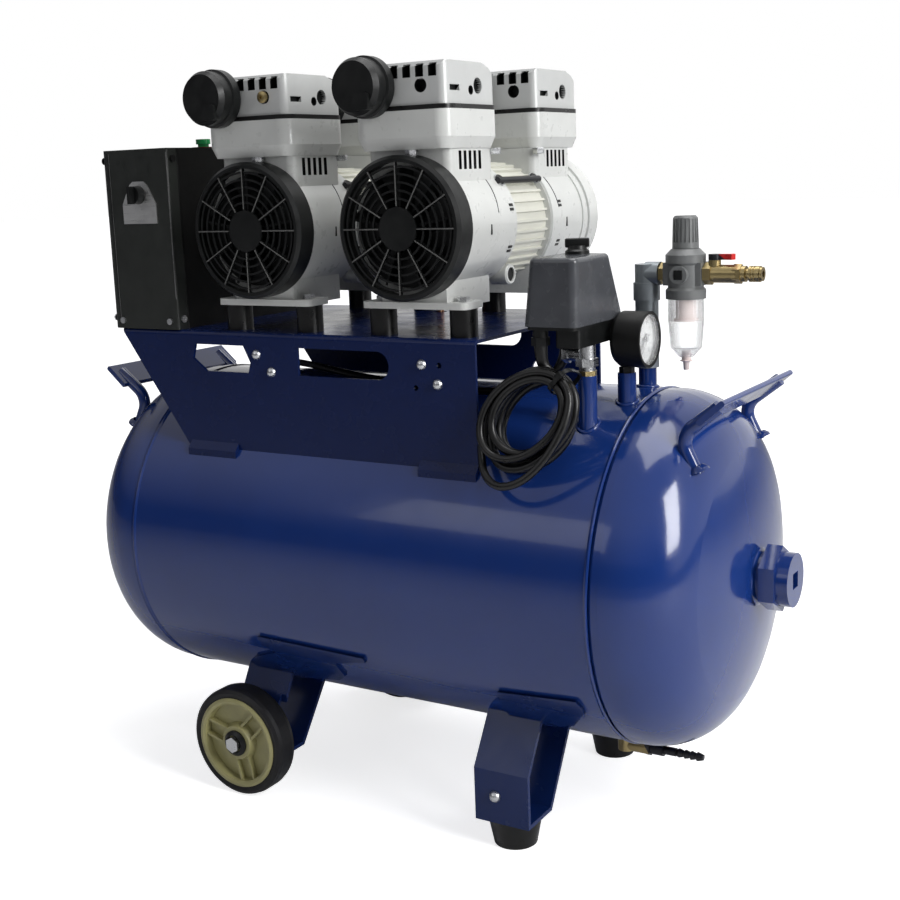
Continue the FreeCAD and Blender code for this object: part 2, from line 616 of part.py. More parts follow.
def make_control_box():
    front = -BRACKET_HALF_WIDTH + LID_DEPTH
    body = rounded_block(BOX_LEFT, BOX_RIGHT, front, BOX_BACK, DECK_Z, box_top, 3)
    sheet = BOX_SHEET
    body = body.cut(block(BOX_LEFT + sheet, BOX_RIGHT - sheet, front - 1, BOX_BACK - sheet, DECK_Z + sheet,
                          box_top - sheet))
    body = body.cut(cylinder(7, 10, (*DECK_GROMMET, DECK_Z - 5)))
    body = body.cut(cylinder(BUTTON_RADIUS - 1, 10, (BUTTON[0], BUTTON[1], box_top - 5)))
    export("control_box_body", body)

    face = -BRACKET_HALF_WIDTH
    lid = block(BOX_LEFT, BOX_RIGHT, face, front - FIT, DECK_Z, box_top)
    corner_edges = [e for e in edges_along(lid, "Z") if e.BoundBox.YMin < face + 1]
    left_edge = [e for e in corner_edges if e.BoundBox.XMin < BOX_LEFT + 1]
    right_edge = [e for e in corner_edges if e.BoundBox.XMin > BOX_LEFT + 1]
    lid = lid.makeFillet(11, left_edge)
    right_edge = [e for e in edges_along(lid, "Z")
                  if e.BoundBox.YMin < face + 1 and e.BoundBox.XMin > BOX_RIGHT - 1]
    lid = lid.makeFillet(3, right_edge)
    lid = lid.cut(block(BOX_LEFT + 4, BOX_RIGHT - 2, face + 9, front, DECK_Z + 2, box_top - 2))
    lid = lid.cut(cylinder(5.05, 30, (SELECTOR[0], face - 5, SELECTOR[1]), "Y"))
    export("control_box_lid", lid)

    screws = []
    for x, y in ((BOX_LEFT, face + 8), (BOX_RIGHT, face + 8)):
        side = -1 if x == BOX_LEFT else 1
        for z in (DECK_Z + 10, box_top - 10):
            screws.append(cylinder(3.5, side * 1.6, (x, y, z), "X"))
    for x in (BOX_LEFT + 16, BOX_RIGHT - 10):
        screws.append(cylinder(3.2, -1.6, (x, face, DECK_Z + 8), "Y"))

    x, z = SELECTOR
    half = PLATE_WIDTH / 2
    low = z - PLATE_HEIGHT + 13
    plate = prism([(x - half, low), (x + half, low), (x + half, low + 19), (x + 12, z + 9), (x + 7, z + 13),
                   (x - 7, z + 13), (x - 12, z + 9), (x - half, low + 19)], "Y", face - 1, face)
    plate = plate.cut(cylinder(6, 4, (x, face - 2, z), "Y"))
    export("selector_plate", plate)
    knob = turned([(0, face - 1.4), (SELECTOR_RADIUS, face - 1.4), (SELECTOR_RADIUS - 1, face - 9),
                   (0, face - 9)],
                  (x, 0, z), "Y")
    knob = joined([knob, block(x - 2, x + 2, face - 15, face - 8, z - 8.5, z + 8.5),
                   cylinder(5, 14, (x, face - 2, z), "Y")])
    export("selector_knob", knob)

    bx, by = BUTTON
    bezel = ring(BUTTON_RADIUS + 3, BUTTON_RADIUS - 1, 2, (bx, by, box_top))
    bezel = joined([bezel, ring(BUTTON_RADIUS - 1 - FIT, BUTTON_RADIUS - 3, 12, (bx, by, box_top - 10))])
    export("button_bezel", bezel)
    button = joined([cylinder(BUTTON_RADIUS - 1.5, 5, (bx, by, box_top + 2 + BUTTON_TRAVEL)),
                     cylinder(BUTTON_RADIUS - 3.3, 12, (bx, by, box_top - 6))])
    export("start_button", button)

    cans = []
    middle = (BOX_BACK + front) / 2
    for y in (middle - CAPACITOR_PITCH / 2, middle + CAPACITOR_PITCH / 2):
        cans.append(cylinder(CAPACITOR_RADIUS, CAPACITOR_LENGTH,
                             (BOX_LEFT + 26, y, DECK_Z + BOX_SHEET + FIT)))
    export("start_capacitors", *cans)
    return screws


def fan_cover():
    """Rim and grille at the front face of a pump, seen along the shaft at the origin of X and Z"""
    face = -PUMP_HALF_LENGTH
    rim = turned([(COVER_RADIUS - COVER_WALL, face + COVER_DEPTH), (COVER_RADIUS, face + COVER_DEPTH),
                  (COVER_RADIUS, face + 3), (COVER_RADIUS - 3, face), (COVER_RADIUS - COVER_RIM, face),
                  (COVER_RADIUS - COVER_RIM, face + GRILLE_THICKNESS),
                  (COVER_RADIUS - COVER_WALL, face + 6)],
                 (0, 0, 0), "Y")
    back = face + GRILLE_THICKNESS
    pieces = [rim, cylinder(GRILLE_HUB, GRILLE_THICKNESS, (0, face, 0), "Y")]
    for radius in GRILLE_RINGS:
        pieces.append(ring(radius + GRILLE_BAR / 2, radius - GRILLE_BAR / 2, GRILLE_THICKNESS - 1,
                           (0, face + 1, 0), "Y"))
    spoke = block(GRILLE_HUB - 2, COVER_RADIUS - COVER_WALL, face + 0.5, back, -GRILLE_BAR / 2,
                  GRILLE_BAR / 2)
    pieces += [turned_about(spoke, (0, 0, 0), "Y", 360 * k / GRILLE_SPOKES) for k in range(GRILLE_SPOKES)]
    return joined(pieces)


def fan():
    start = -PUMP_HALF_LENGTH + GRILLE_THICKNESS + 3
    hub = ring(FAN_HUB_RADIUS, SHAFT_RADIUS, FAN_WIDTH, (0, start, 0), "Y")
    blade = prism([(-1.2, start), (1.2, start), (8, start + FAN_WIDTH), (5.6, start + FAN_WIDTH)], "Z",
                  FAN_HUB_RADIUS - 3, FAN_RADIUS)
    blades = [turned_about(blade, (0, 0, 0), "Y", 360 * k / FAN_BLADES) for k in range(FAN_BLADES)]
    back = ring(FAN_RADIUS, SHAFT_RADIUS, 1.5, (0, start + FAN_WIDTH - 0.5, 0), "Y")
    return joined([hub, back] + blades)


def crankcase():
    """Front crankcase with its neck and foot, the shaft axis at the origin of X and Z"""
    back = -MOTOR_HALF_LENGTH
    front = -case_front
    neck_top = COLLAR_BOTTOM - SHAFT_Z - FIT
    foot = FOOT_PLATE_Z - SHAFT_Z
    drum = cylinder(CASE_RADIUS, back - front, (0, front, 0), "Y")
    neck = rounded_block(-NECK_HALF_WIDTH, NECK_HALF_WIDTH, front, back, 0, neck_top, 8)
    pedestal = block(-34, 34, front, back, foot, -30)
    flange = rounded_block(-FOOT_PLATE_HALF_X, FOOT_PLATE_HALF_X, -MOUNT_Y - FOOT_PLATE_LENGTH / 2,
                           -MOUNT_Y + FOOT_PLATE_LENGTH / 2, foot, foot + FOOT_PLATE_THICKNESS, 6)
    solid = joined([drum, neck, pedestal, flange])
    solid = solid.cut(cylinder(CASE_CHAMBER, back - front - 2 * CASE_WALL, (0, front + CASE_WALL, 0), "Y"))
    sleeve = BORE_RADIUS + SLEEVE_WALL + FIT
    solid = solid.cut(cylinder(sleeve, neck_top + 1, (0, -CYLINDER_Y, 0)))
    solid = solid.cut(cylinder(BEARING_RADIUS + FIT / 2, back - front, (0, front, 0), "Y"))
    for k in range(NECK_VENTS):
        y = -CYLINDER_Y + (k - (NECK_VENTS - 1) / 2) * VENT_PITCH
        slot = block(-60, 60, y - VENT_WIDTH / 2, y + VENT_WIDTH / 2, VENT_BOTTOM - SHAFT_Z, neck_top - 2)
        solid = solid.cut(slot.cut(block(-36, 36, -200, 0, 0, 80)))
    for dx in (-MOUNT_X, MOUNT_X):
        solid = solid.cut(cylinder(3.2, 20, (dx, -MOUNT_Y, foot - 5)))
    return solid


def collar():
    half_x, half_y = COLLAR_HALF_X, COLLAR_HALF_Y
    waist = COLLAR_BOTTOM + COLLAR_BEVEL - SHAFT_Z
    solid = rounded_block(-half_x, half_x, -CYLINDER_Y - half_y, -CYLINDER_Y + half_y, waist,
                          collar_top - SHAFT_Z,
                          COLLAR_CORNER)
    rims = []
    for inset, z in ((0, waist), (COLLAR_INSET, COLLAR_BOTTOM - SHAFT_Z)):
        slab = rounded_block(-half_x + inset, half_x - inset, -CYLINDER_Y - half_y + inset,
                             -CYLINDER_Y + half_y - inset, z, z + 1, COLLAR_CORNER - inset)
        rims.append([f for f in slab.Faces if f.BoundBox.ZMax < z + 0.01][0].OuterWire)
    solid = joined([solid, Part.makeLoft(rims, True, True)])
    return solid.cut(cylinder(BORE_RADIUS + SLEEVE_WALL + FIT, 60,
                              (0, -CYLINDER_Y, COLLAR_BOTTOM - SHAFT_Z - 5)))


def cylinder_head():
    low = head_bottom - SHAFT_Z
    top = low + HEAD_HEIGHT
    half_x, half_y = HEAD_HALF_X, HEAD_HALF_Y
    front, back = -CYLINDER_Y - half_y, -CYLINDER_Y + half_y
    profile = [(front, low), (back, low), (back, low + 8), (back - 5, low + 27), (back - 12, top - 4),
               (back - 24, top), (front + 3, top), (front, top - 4)]
    solid = prism(profile, "X", -half_x, half_x)
    solid = solid.makeFillet(7, [e for e in edges_along(solid, "Z") if e.Length > 5])
    for side in (front,):
        for k in range(HEAD_SLOTS):
            x = HEAD_SLOT_START + k * HEAD_SLOT_PITCH
            notch = block(x, x + HEAD_SLOT_WIDTH, side - 1, side + HEAD_SLOT_DEPTH, top - 13, top - 2)
            solid = solid.cut(notch)
    solid = solid.cut(cylinder(6, 10, (22, front - 1, low + 16), "Y"))
    solid = solid.cut(cylinder(7, 6, (half_x - 5, -CYLINDER_Y + 12, low + 16), "X"))
    solid = solid.cut(block(half_x - 4, half_x + 1, front + 8, front + 24, low + 11, low + 16))
    for side in (-half_x - 1, half_x - 9):
        solid = solid.cut(cylinder(DELIVERY_RADIUS + FIT, 10, (side, -CYLINDER_Y, low + 12), "X"))
    solid = solid.cut(cylinder(25, 12, (0, -CYLINDER_Y, low - 1)))
    return solid


def intake_filter():
    front = -CYLINDER_Y - HEAD_HALF_Y
    z = FILTER_Z - SHAFT_Z
    tip = front - FILTER_LENGTH
    body = turned([(0, front - FIT), (9, front - FIT), (9, front - 4), (FILTER_RADIUS, front - 4),
                   (FILTER_RADIUS, front - 13), (FILTER_RADIUS - 2, front - 14),
                   (FILTER_RADIUS - 2, tip + 5), (FILTER_RADIUS - 5, tip), (0, tip)], (FILTER_X, 0, z), "Y")
    snout = rounded_block(FILTER_X + 2, FILTER_X + 17, tip - 3, tip + 6, z - 20, z - 6, 3, "Y")
    return joined([body, snout])


def connecting_rod():
    y0 = -CYLINDER_Y - ROD_WIDTH / 2
    piston_z = collar_top - SHAFT_Z - 16
    big_end = cylinder(ROD_RADIUS, ROD_WIDTH, (0, y0, CRANK_THROW), "Y")
    shank = block(-8, 8, y0, y0 + ROD_WIDTH, CRANK_THROW, piston_z + 2)
    crown = cylinder(BORE_RADIUS - 0.3, 6, (0, -CYLINDER_Y, piston_z))
    solid = joined([big_end, shank, crown])
    return solid.cut(cylinder(ECCENTRIC_RADIUS + 0.1, ROD_WIDTH, (0, y0, CRANK_THROW), "Y"))


def pump_sides(shape, x):
    """A front piece and its twin at the back of the pump at x"""
    front = moved(shape, x, 0, SHAFT_Z)
    return [front, mirrored(front, "Y")]


def make_pumps():
    case, neck_collar, head, cover, blower = crankcase(), collar(), cylinder_head(), fan_cover(), fan()
    start = -CYLINDER_Y - ROD_WIDTH / 2
    eccentric = cylinder(ECCENTRIC_RADIUS, ROD_WIDTH, (0, start, CRANK_THROW), "Y")
    eccentric = eccentric.cut(cylinder(SHAFT_RADIUS + RUNNING_GAP, ROD_WIDTH, (0, start, 0), "Y"))
    sleeve = ring(BORE_RADIUS + SLEEVE_WALL, BORE_RADIUS, 58, (0, -CYLINDER_Y, collar_top - SHAFT_Z - 58))
    gasket = rounded_block(-COLLAR_HALF_X, COLLAR_HALF_X, -CYLINDER_Y - COLLAR_HALF_Y,
                           -CYLINDER_Y + COLLAR_HALF_Y,
                           collar_top - SHAFT_Z, head_bottom - SHAFT_Z, COLLAR_CORNER)
    bearings = []
    for y in (-case_front, -MOTOR_HALF_LENGTH - CASE_WALL):
        bearings.append(ring(BEARING_RADIUS, SHAFT_RADIUS + RUNNING_GAP, CASE_WALL, (0, y, 0), "Y"))
    mount = ring(MOUNT_RADIUS, 3.2, FOOT_PLATE_Z - DECK_Z, (0, -MOUNT_Y, DECK_Z - SHAFT_Z))
    screw = joined([cylinder(3, 36, (0, -MOUNT_Y, DECK_Z - SHAFT_Z - 5)),
                    hexagon(10, 4, (0, -MOUNT_Y, FOOT_PLATE_Z + FOOT_PLATE_THICKNESS - SHAFT_Z + FIT)),
                    hexagon(10, -4, (0, -MOUNT_Y, DECK_Z - BRACKET_SHEET - SHAFT_Z - FIT))])
    shared = {"crankcases": [], "cylinder_collars": [], "cylinder_heads": [], "fan_covers": [],
              "motor_shells": [],
              "head_gaskets": [], "intake_filters": [], "pistons": [], "shaft_bearings": [],
              "rubber_mounts": []}
    screws = []
    for side, x in PUMP_X.items():
        bell = moved(mirrored(cover, "Y"), x, 0, SHAFT_Z)
        shared["crankcases"] += pump_sides(case, x) + [bell]
        shared["cylinder_collars"] += pump_sides(neck_collar, x) + pump_sides(sleeve, x)
        shared["cylinder_heads"] += [moved(head, x, 0, SHAFT_Z), moved(head, x, 2 * CYLINDER_Y, SHAFT_Z)]
        shared["fan_covers"].append(moved(cover, x, 0, SHAFT_Z))
        export(side + "_pump_fans", *pump_sides(blower, x))
        shaft_end = PUMP_HALF_LENGTH - GRILLE_THICKNESS - 3
        shaft = cylinder(SHAFT_RADIUS, 2 * shaft_end, (x, -shaft_end, SHAFT_Z), "Y")
        core = ring(ROTOR_RADIUS, SHAFT_RADIUS, 2 * STACK_HALF_LENGTH, (x, -STACK_HALF_LENGTH, SHAFT_Z),
                    "Y")
        export(side + "_pump_rotor", joined([shaft, core]))
        base = (x, -MOTOR_HALF_LENGTH, SHAFT_Z)
        inside = MOTOR_RADIUS - MOTOR_WALL
        fin = block(x + MOTOR_RADIUS - 1, x + MOTOR_RADIUS + FIN_HEIGHT, -MOTOR_HALF_LENGTH + FIT,
                    MOTOR_HALF_LENGTH - FIT,
                    SHAFT_Z - FIN_THICKNESS / 2, SHAFT_Z + FIN_THICKNESS / 2)
        fins = [turned_about(fin, base, "Y", 360 * k / MOTOR_FINS) for k in range(MOTOR_FINS)]
        shell_length = 2 * (MOTOR_HALF_LENGTH - FIT)
        barrel = cylinder(MOTOR_RADIUS, shell_length, (x, -MOTOR_HALF_LENGTH + FIT, SHAFT_Z), "Y")
        barrel = joined([barrel] + fins).cut(cylinder(inside, 2 * MOTOR_HALF_LENGTH, base, "Y"))
        bar_x, bar_z = TIE_BAR
        bar_start = (x + bar_x, -MOTOR_HALF_LENGTH + FIT, bar_z)
        bar = cylinder(3, shell_length, bar_start, "Y")
        barrel = barrel.cut(cylinder(3.4, shell_length, bar_start, "Y"))
        screws.append(bar)
        shared["motor_shells"].append(barrel)
        stack = ring(inside - FIT, ROTOR_RADIUS + AIR_GAP, 2 * STACK_HALF_LENGTH,
                     (x, -STACK_HALF_LENGTH, SHAFT_Z), "Y")
        shared["motor_shells"].append(stack)
        shared["head_gaskets"] += pump_sides(gasket, x)
        front_filter = moved(intake_filter(), x, 0, SHAFT_Z)
        shared["intake_filters"] += [front_filter, moved(front_filter, 0, 2 * CYLINDER_Y)]
        shared["pistons"] += pump_sides(connecting_rod(), x) + pump_sides(eccentric, x)
        for bearing in bearings:
            shared["shaft_bearings"] += pump_sides(bearing, x)
        for dx in (-MOUNT_X, MOUNT_X):
            shared["rubber_mounts"] += pump_sides(moved(mount, dx), x)
            screws += pump_sides(moved(screw, dx), x)
    for node, solids in shared.items():
        export(node, *solids)
    return screws


def make_delivery():
    """Copper tubes from the two rear heads down through the deck to the check valve on the tank"""
    top = head_bottom + 12
    valve_z = TANK_AXIS_Z + TANK_RADIUS
    tubes = []
    inner = HEAD_HALF_X - 7
    for x, side in ((PUMP_X["left"], 1), (PUMP_X["right"], -1)):
        turn_x = CHECK_VALVE_X - side * 12.5
        points = [(turn_x, CYLINDER_Y, valve_z + 24), (turn_x, 14, valve_z + 24)]
        start = (x + side * inner, CYLINDER_Y, top)
        path = [start, (turn_x, CYLINDER_Y, top), points[0], points[1]]
        tubes.append(swept(path, [10.0, 16.0], DELIVERY_RADIUS))
    export("delivery_tubes", *tubes)
    x = CHECK_VALVE_X
    body = cylinder(9, 16, (x, 0, valve_z + 16)).fuse(hexagon(24, 16, (x, 0, valve_z + 16)))
    tail = cylinder(STUB_BORE - 0.5, 26, (x, 0, valve_z - 8))
    flange = ring(14, STUB_BORE - 0.5, 20, (x, 0, valve_z - 4)).cut(tank_cylinder(TANK_RADIUS + FIT))
    valve = joined([body, tail, flange])
    for side in (1, -1):
        valve = joined([valve, cylinder(6, 10, (x - side * 12.5, 4, valve_z + 24), "Y")])
    valve = valve.cut(joined(tubes[:1])).cut(tubes[1])
    collar = ring(20, STUB_BORE - 0.5, 12, (x, 0, valve_z - 12))
    valve = valve.cut(collar.common(tank_cylinder(TANK_RADIUS + FIT)))
    export("check_valve", valve)


def make_pressure_switch():
    x0, x1 = SWITCH_X
    y0, y1 = SWITCH_Y
    low, top = SWITCH_COVER_Z

    def level_wire(xs, ys, z, radius):
        slab = rounded_block(*xs, *ys, z, z + 1, radius)
        return [f for f in slab.Faces if f.BoundBox.ZMax < z + 0.01][0].OuterWire

    cover = Part.makeLoft([level_wire(SWITCH_X, SWITCH_Y, low, 7),
                           level_wire(SWITCH_TOP_X, SWITCH_TOP_Y, top, 7)], True)
    cover = cover.makeFillet(SWITCH_EDGE, [e for e in cover.Edges if e.BoundBox.ZMin > top - 0.01])
    hollow = rounded_block(x0 + 9, x1 - 9, y0 + 9, SWITCH_TOP_Y[1] - 9, low - 1, top - 14, 4)
    cover = cover.cut(hollow)
    export("pressure_switch_cover", cover)
    px, py = SWITCH_PORT
    base_z = low - SWITCH_BASE_DROP
    base = rounded_block(px - 14, x1 - 4, y0 + 13, y1 - 8, base_z, low - FIT, 3)
    plate = rounded_block(x0 + 2, x1 - 2, y0 + 2, y1 - 2, low - 3, low - FIT, 6)
    contacts = block(x0 + 14, x1 - 14, y0 + 14, SWITCH_TOP_Y[1] - 14, low - 1, top - 18)
    base = joined([base, plate, contacts])
    for gx, gy in (CORD_GLAND, CABLE_GLAND):
        base = base.cut(cylinder(6.2, 30, (gx, gy, low - 15)))
    export("pressure_switch_base", base)

    glands = []
    for gx, gy in (CORD_GLAND, CABLE_GLAND):
        body = cylinder(GLAND_RADIUS - 1.5, 10, (gx, gy, low - 13))
        nut = hexagon(2 * GLAND_RADIUS - 2, GLAND_LENGTH - 13, (gx, gy, low - GLAND_LENGTH + 3))
        stem = cylinder(6, 8 - FIT, (gx, gy, low - 8))
        gland = joined([body, nut, stem])
        glands.append(gland.cut(cylinder(CORD_RADIUS + FIT, 3, (gx, gy, low - GLAND_LENGTH + 3))))
    deck_under = DECK_Z - BRACKET_SHEET
    grommet = ring(9.5, CORD_RADIUS + FIT, 4, (*DECK_GROMMET, deck_under - 4 - FIT))
    grommet = joined([grommet, ring(6.6, CORD_RADIUS + FIT, 12, (*DECK_GROMMET, deck_under - 2))])
    export("cable_glands", *glands, grommet)

    collar_z = SWITCH_STUB_TOP
    nipple = joined([cylinder(7, 8, (px, py, collar_z)),
                     cylinder(STUB_BORE - FIT, 18, (px, py, collar_z - 10))])
    cross = joined([hexagon(17, 7, (px, py, collar_z + 8)),
                    cylinder(7.5, base_z - collar_z - 15, (px, py, collar_z + 15)),
                    cylinder(6, 16, (px - 16, py, base_z - 9), "X"),
                    hexagon(14, 5, (px - 21, py, base_z - 9), "X")])
    cross = cross.cut(base)
    export("switch_manifold", nipple, cross)


def make_gauge():
    gx, gy = GAUGE_PORT
    back = gx - GAUGE_STEM_INSET
    stem_top = GAUGE_STUB_TOP + 7
    centre = (back, gy, stem_top + GAUGE_RADIUS - 2)
    depth = GAUGE_DEPTH
    case = turned([(0, 0), (GAUGE_RADIUS - 3, 0), (GAUGE_RADIUS, 4), (GAUGE_RADIUS, depth),
                   (GAUGE_RADIUS - 2.5, depth), (GAUGE_RADIUS - 2.5, depth - 8), (0, depth - 8)], centre,
                  "X")
    stem = joined([hexagon(12, 9, (gx, gy, GAUGE_STUB_TOP)),
                   cylinder(STUB_BORE - FIT, 8, (gx, gy, GAUGE_STUB_TOP - 8))])
    stem = stem.cut(turned([(0, -1), (GAUGE_RADIUS + FIT, -1), (GAUGE_RADIUS + FIT, depth), (0, depth)],
                           centre, "X"))
    export("gauge_case", case, stem)
    face = back + depth
    dial = cylinder(GAUGE_RADIUS - 2.8, 1, (face - 8, gy, centre[2]), "X")
    dial = dial.cut(cylinder(1.2, 3, (face - 9, gy, centre[2]), "X"))
    export("gauge_dial", dial)
    lens = turned([(0, depth - 2.5), (GAUGE_RADIUS - 2.7, depth - 2.5), (GAUGE_RADIUS - 2.7, depth - 1),
                   (0, depth - 1)],
                  centre, "X")
    export("gauge_lens", lens)
    needle = prism([(-1.1, -6), (1.1, -6), (0.5, 17), (-0.5, 17)], "X", face - 6, face - 5)
    needle = joined([needle, cylinder(2.4, 1.6, (face - 6.4, 0, 0), "X"),
                     cylinder(1.1, 3, (face - 8, 0, 0), "X")])
    needle = turned_about(needle, (0, 0, 0), "X", 135)
    export("gauge_needle", moved(needle, 0, gy, centre[2]))


def make_riser_and_regulator():
    rx, ry = RISER_PORT
    left = REGULATOR_X - REGULATOR_RADIUS
    elbow_end = rx + 14
    riser = joined([cylinder(RISER_RADIUS, OUTLET_Z + RISER_RADIUS - 2 - RISER_STUB_TOP,
                             (rx, ry, RISER_STUB_TOP)),
                    cylinder(RISER_RADIUS + 1.5, 16, (rx, ry, OUTLET_Z - 24)),
                    cylinder(RISER_RADIUS, elbow_end - rx, (rx, ry, OUTLET_Z), "X"),
                    cylinder(STUB_BORE - FIT, 10, (rx, ry, RISER_STUB_TOP - 10))])
    riser = riser.cut(cylinder(STUB_BORE, 12, (elbow_end - 10, ry, OUTLET_Z), "X"))
    export("riser_elbow", riser)
    nipple = joined([cylinder(STUB_BORE - FIT, left - elbow_end + 14, (elbow_end - 8, ry, OUTLET_Z), "X"),
                     hexagon(17, left - elbow_end - 1, (elbow_end + 0.5, ry, OUTLET_Z), "X")])

    low, top = REGULATOR_Z
    centre = (REGULATOR_X, ry, 0)
    r = REGULATOR_RADIUS
    body = turned([(0, low), (r, low), (r, low + 8), (r - 2, low + 10), (r - 2, top - 14), (r, top - 12),
                   (r, top - 5), (r - 5, top), (0, top)], centre, "Z")
    body = joined([body, block(left, REGULATOR_X + r, ry - 10, ry + 10, OUTLET_Z - 10, OUTLET_Z + 10)])
    body = body.cut(cylinder(STUB_BORE, 9, (left - 1, ry, OUTLET_Z), "X"))
    body = body.cut(cylinder(STUB_BORE, -9, (REGULATOR_X + r + 1, ry, OUTLET_Z), "X"))
    body = joined([body, cylinder(8, 6, (REGULATOR_X, ry - r - 1, OUTLET_Z), "Y")])
    body = body.cut(cylinder(4.5, 6, (REGULATOR_X, ry - r - 2, OUTLET_Z), "Y"))
    body = body.cut(cylinder(BOWL_RADIUS + FIT, 8, (REGULATOR_X, ry, low - 1)))
    body = body.cut(cylinder(5 + RUNNING_GAP, 16, (REGULATOR_X, ry, top - 10)))
    export("regulator_body", body)
    screw = cylinder(5, 9 + KNOB_HEIGHT - 8, (REGULATOR_X, ry, top - 9))
    export("regulator_screw", screw)
    ribs = 20
    knob = turned([(5 + RUNNING_GAP, top + 0.4), (KNOB_RADIUS, top + 0.4),
                   (KNOB_RADIUS - 0.8, top + KNOB_HEIGHT - 2), (KNOB_RADIUS - 2.5, top + KNOB_HEIGHT),
                   (0, top + KNOB_HEIGHT), (0, top + KNOB_HEIGHT - 4),
                   (5 + RUNNING_GAP, top + KNOB_HEIGHT - 4)], centre, "Z")
    groove = block(KNOB_RADIUS - 1.2, KNOB_RADIUS + 1, -0.9, 0.9, top + 6, top + KNOB_HEIGHT - 3)
    groove = moved(groove, REGULATOR_X, ry)
    for k in range(ribs):
        knob = knob.cut(turned_about(groove, centre, "Z", 360 * k / ribs))
    export("regulator_knob", knob)

    b = BOWL_RADIUS
    w = BOWL_WALL
    bowl = turned([(b, low + 5), (b, low - 20), (b - 2, BOWL_BOTTOM + 8), (b - 9, BOWL_BOTTOM),
                   (4.2, BOWL_BOTTOM), (4.2, BOWL_BOTTOM + w), (b - 9 - w / 2, BOWL_BOTTOM + w),
                   (b - 2 - w, BOWL_BOTTOM + 9), (b - w, low - 20), (b - w, low + 5)], centre, "Z")
    export("regulator_bowl", bowl)
    element = joined([cylinder(9, 20, (REGULATOR_X, ry, low - 18)),
                      cylinder(3, 30, (REGULATOR_X, ry, low - 20)),
                      cylinder(11, 2, (REGULATOR_X, ry, low - 20))])
    element = element.cut(body)
    drain = turned([(0, BOWL_BOTTOM - 12), (2.5, BOWL_BOTTOM - 12), (3, BOWL_BOTTOM - 5),
                    (5.5, BOWL_BOTTOM - 4), (5.5, BOWL_BOTTOM - 0.3 - 3), (4.1, BOWL_BOTTOM - 0.3 - 3),
                    (4.1, BOWL_BOTTOM + 6), (0, BOWL_BOTTOM + 6)],
                   centre, "Z")
    export("filter_element", element, drain)

    right = REGULATOR_X + r
    end = right + VALVE_LENGTH
    valve = joined([cylinder(STUB_BORE - FIT, 8, (right - 7, ry, OUTLET_Z), "X"),
                    hexagon(17, 7, (right + 0.5, ry, OUTLET_Z), "X"),
                    cylinder(VALVE_RADIUS, VALVE_LENGTH - 8, (right + 4, ry, OUTLET_Z), "X"),
                    hexagon(15, 7, (end - 7, ry, OUTLET_Z), "X"),
                    cylinder(5.5, 12, (VALVE_STEM_X, ry, OUTLET_Z))])
    valve = valve.cut(cylinder(3 + RUNNING_GAP, 20, (VALVE_STEM_X, ry, OUTLET_Z)))
    hub_z = OUTLET_Z + 12.3
    tip = VALVE_STEM_X + LEVER_REACH
    lever = joined([cylinder(3, hub_z - OUTLET_Z + 2, (VALVE_STEM_X, ry, OUTLET_Z + 1)),
                    cylinder(5.5, 5, (VALVE_STEM_X, ry, hub_z)),
                    prism([(VALVE_STEM_X, ry - 3), (tip - 8, ry - 3.5), (tip - 2, ry - 5), (tip, ry),
                           (tip - 2, ry + 5), (tip - 8, ry + 3.5), (VALVE_STEM_X, ry + 3)], "Z", hub_z,
                          hub_z + 5)])
    export("outlet_lever", lever)
    body = joined([cylinder(4.5, COUPLER_LENGTH, (end, ry, OUTLET_Z), "X"),
                   cylinder(7, 4, (end, ry, OUTLET_Z), "X"),
                   cylinder(6.2, 2, (end + COUPLER_LENGTH - 2, ry, OUTLET_Z), "X")])
    body = body.cut(cylinder(3, 10, (end + COUPLER_LENGTH - 10, ry, OUTLET_Z), "X"))
    export("outlet_fittings", nipple, valve, body)
    start = end + 4 + SLEEVE_TRAVEL + 0.2
    sleeve = ring(7, 4.5 + RUNNING_GAP, end + COUPLER_LENGTH - 2.3 - start, (start, ry, OUTLET_Z), "X")
    for k in range(2):
        sleeve = sleeve.cut(ring(8, 6.3, 1.2, (start + 2 + 2.6 * k, ry, OUTLET_Z), "X"))
    export("quick_coupler_sleeve", sleeve)


def make_drain():
    x = DRAIN_PORT_X
    low = TANK_AXIS_Z - TANK_RADIUS - DRAIN_SOCKET_LENGTH
    stem = DRAIN_STEM_X
    elbow = joined([cylinder(STUB_BORE - FIT, 12, (x, 0, low - 4)),
                    cylinder(DRAIN_RADIUS + 1, low - DRAIN_Z + 6, (x, 0, DRAIN_Z - 6)),
                    cylinder(DRAIN_RADIUS, stem - x - 7, (x, 0, DRAIN_Z), "X")])
    elbow = elbow.cut(cylinder(20, 20, (x, 0, low)).cut(cylinder(STUB_BORE - FIT, 20, (x, 0, low))))
    valve = joined([hexagon(14, 5, (stem - 7, 0, DRAIN_Z), "X"),
                    cylinder(DRAIN_RADIUS - 1, 18, (stem - 7, 0, DRAIN_Z), "X"),
                    cylinder(4.5, 9, (stem, 0, DRAIN_Z)), cylinder(4, 12, (stem + 11, 0, DRAIN_Z), "X")])
    valve = valve.cut(cylinder(2.5 + RUNNING_GAP, 12, (stem, 0, DRAIN_Z)))
    barbs = [(0, stem + 23), (3, stem + 23)]
    for k in range(4):
        at = stem + 26 + 6 * k
        barbs += [(4.4, at), (3, at + 5)]
    barbs += [(2.6, DRAIN_TIP_X), (0, DRAIN_TIP_X)]
    export("drain_valve", elbow, valve, turned(barbs, (0, 0, DRAIN_Z), "X"))
    lever = joined([cylinder(2.5, 9, (stem, 0, DRAIN_Z + 1)), cylinder(4.5, 3, (stem, 0, DRAIN_Z + 9.3)),
                    block(stem, stem + 13, -2.5, 2.5, DRAIN_Z + 9.3, DRAIN_Z + 12.3)])
    export("drain_lever", lever)


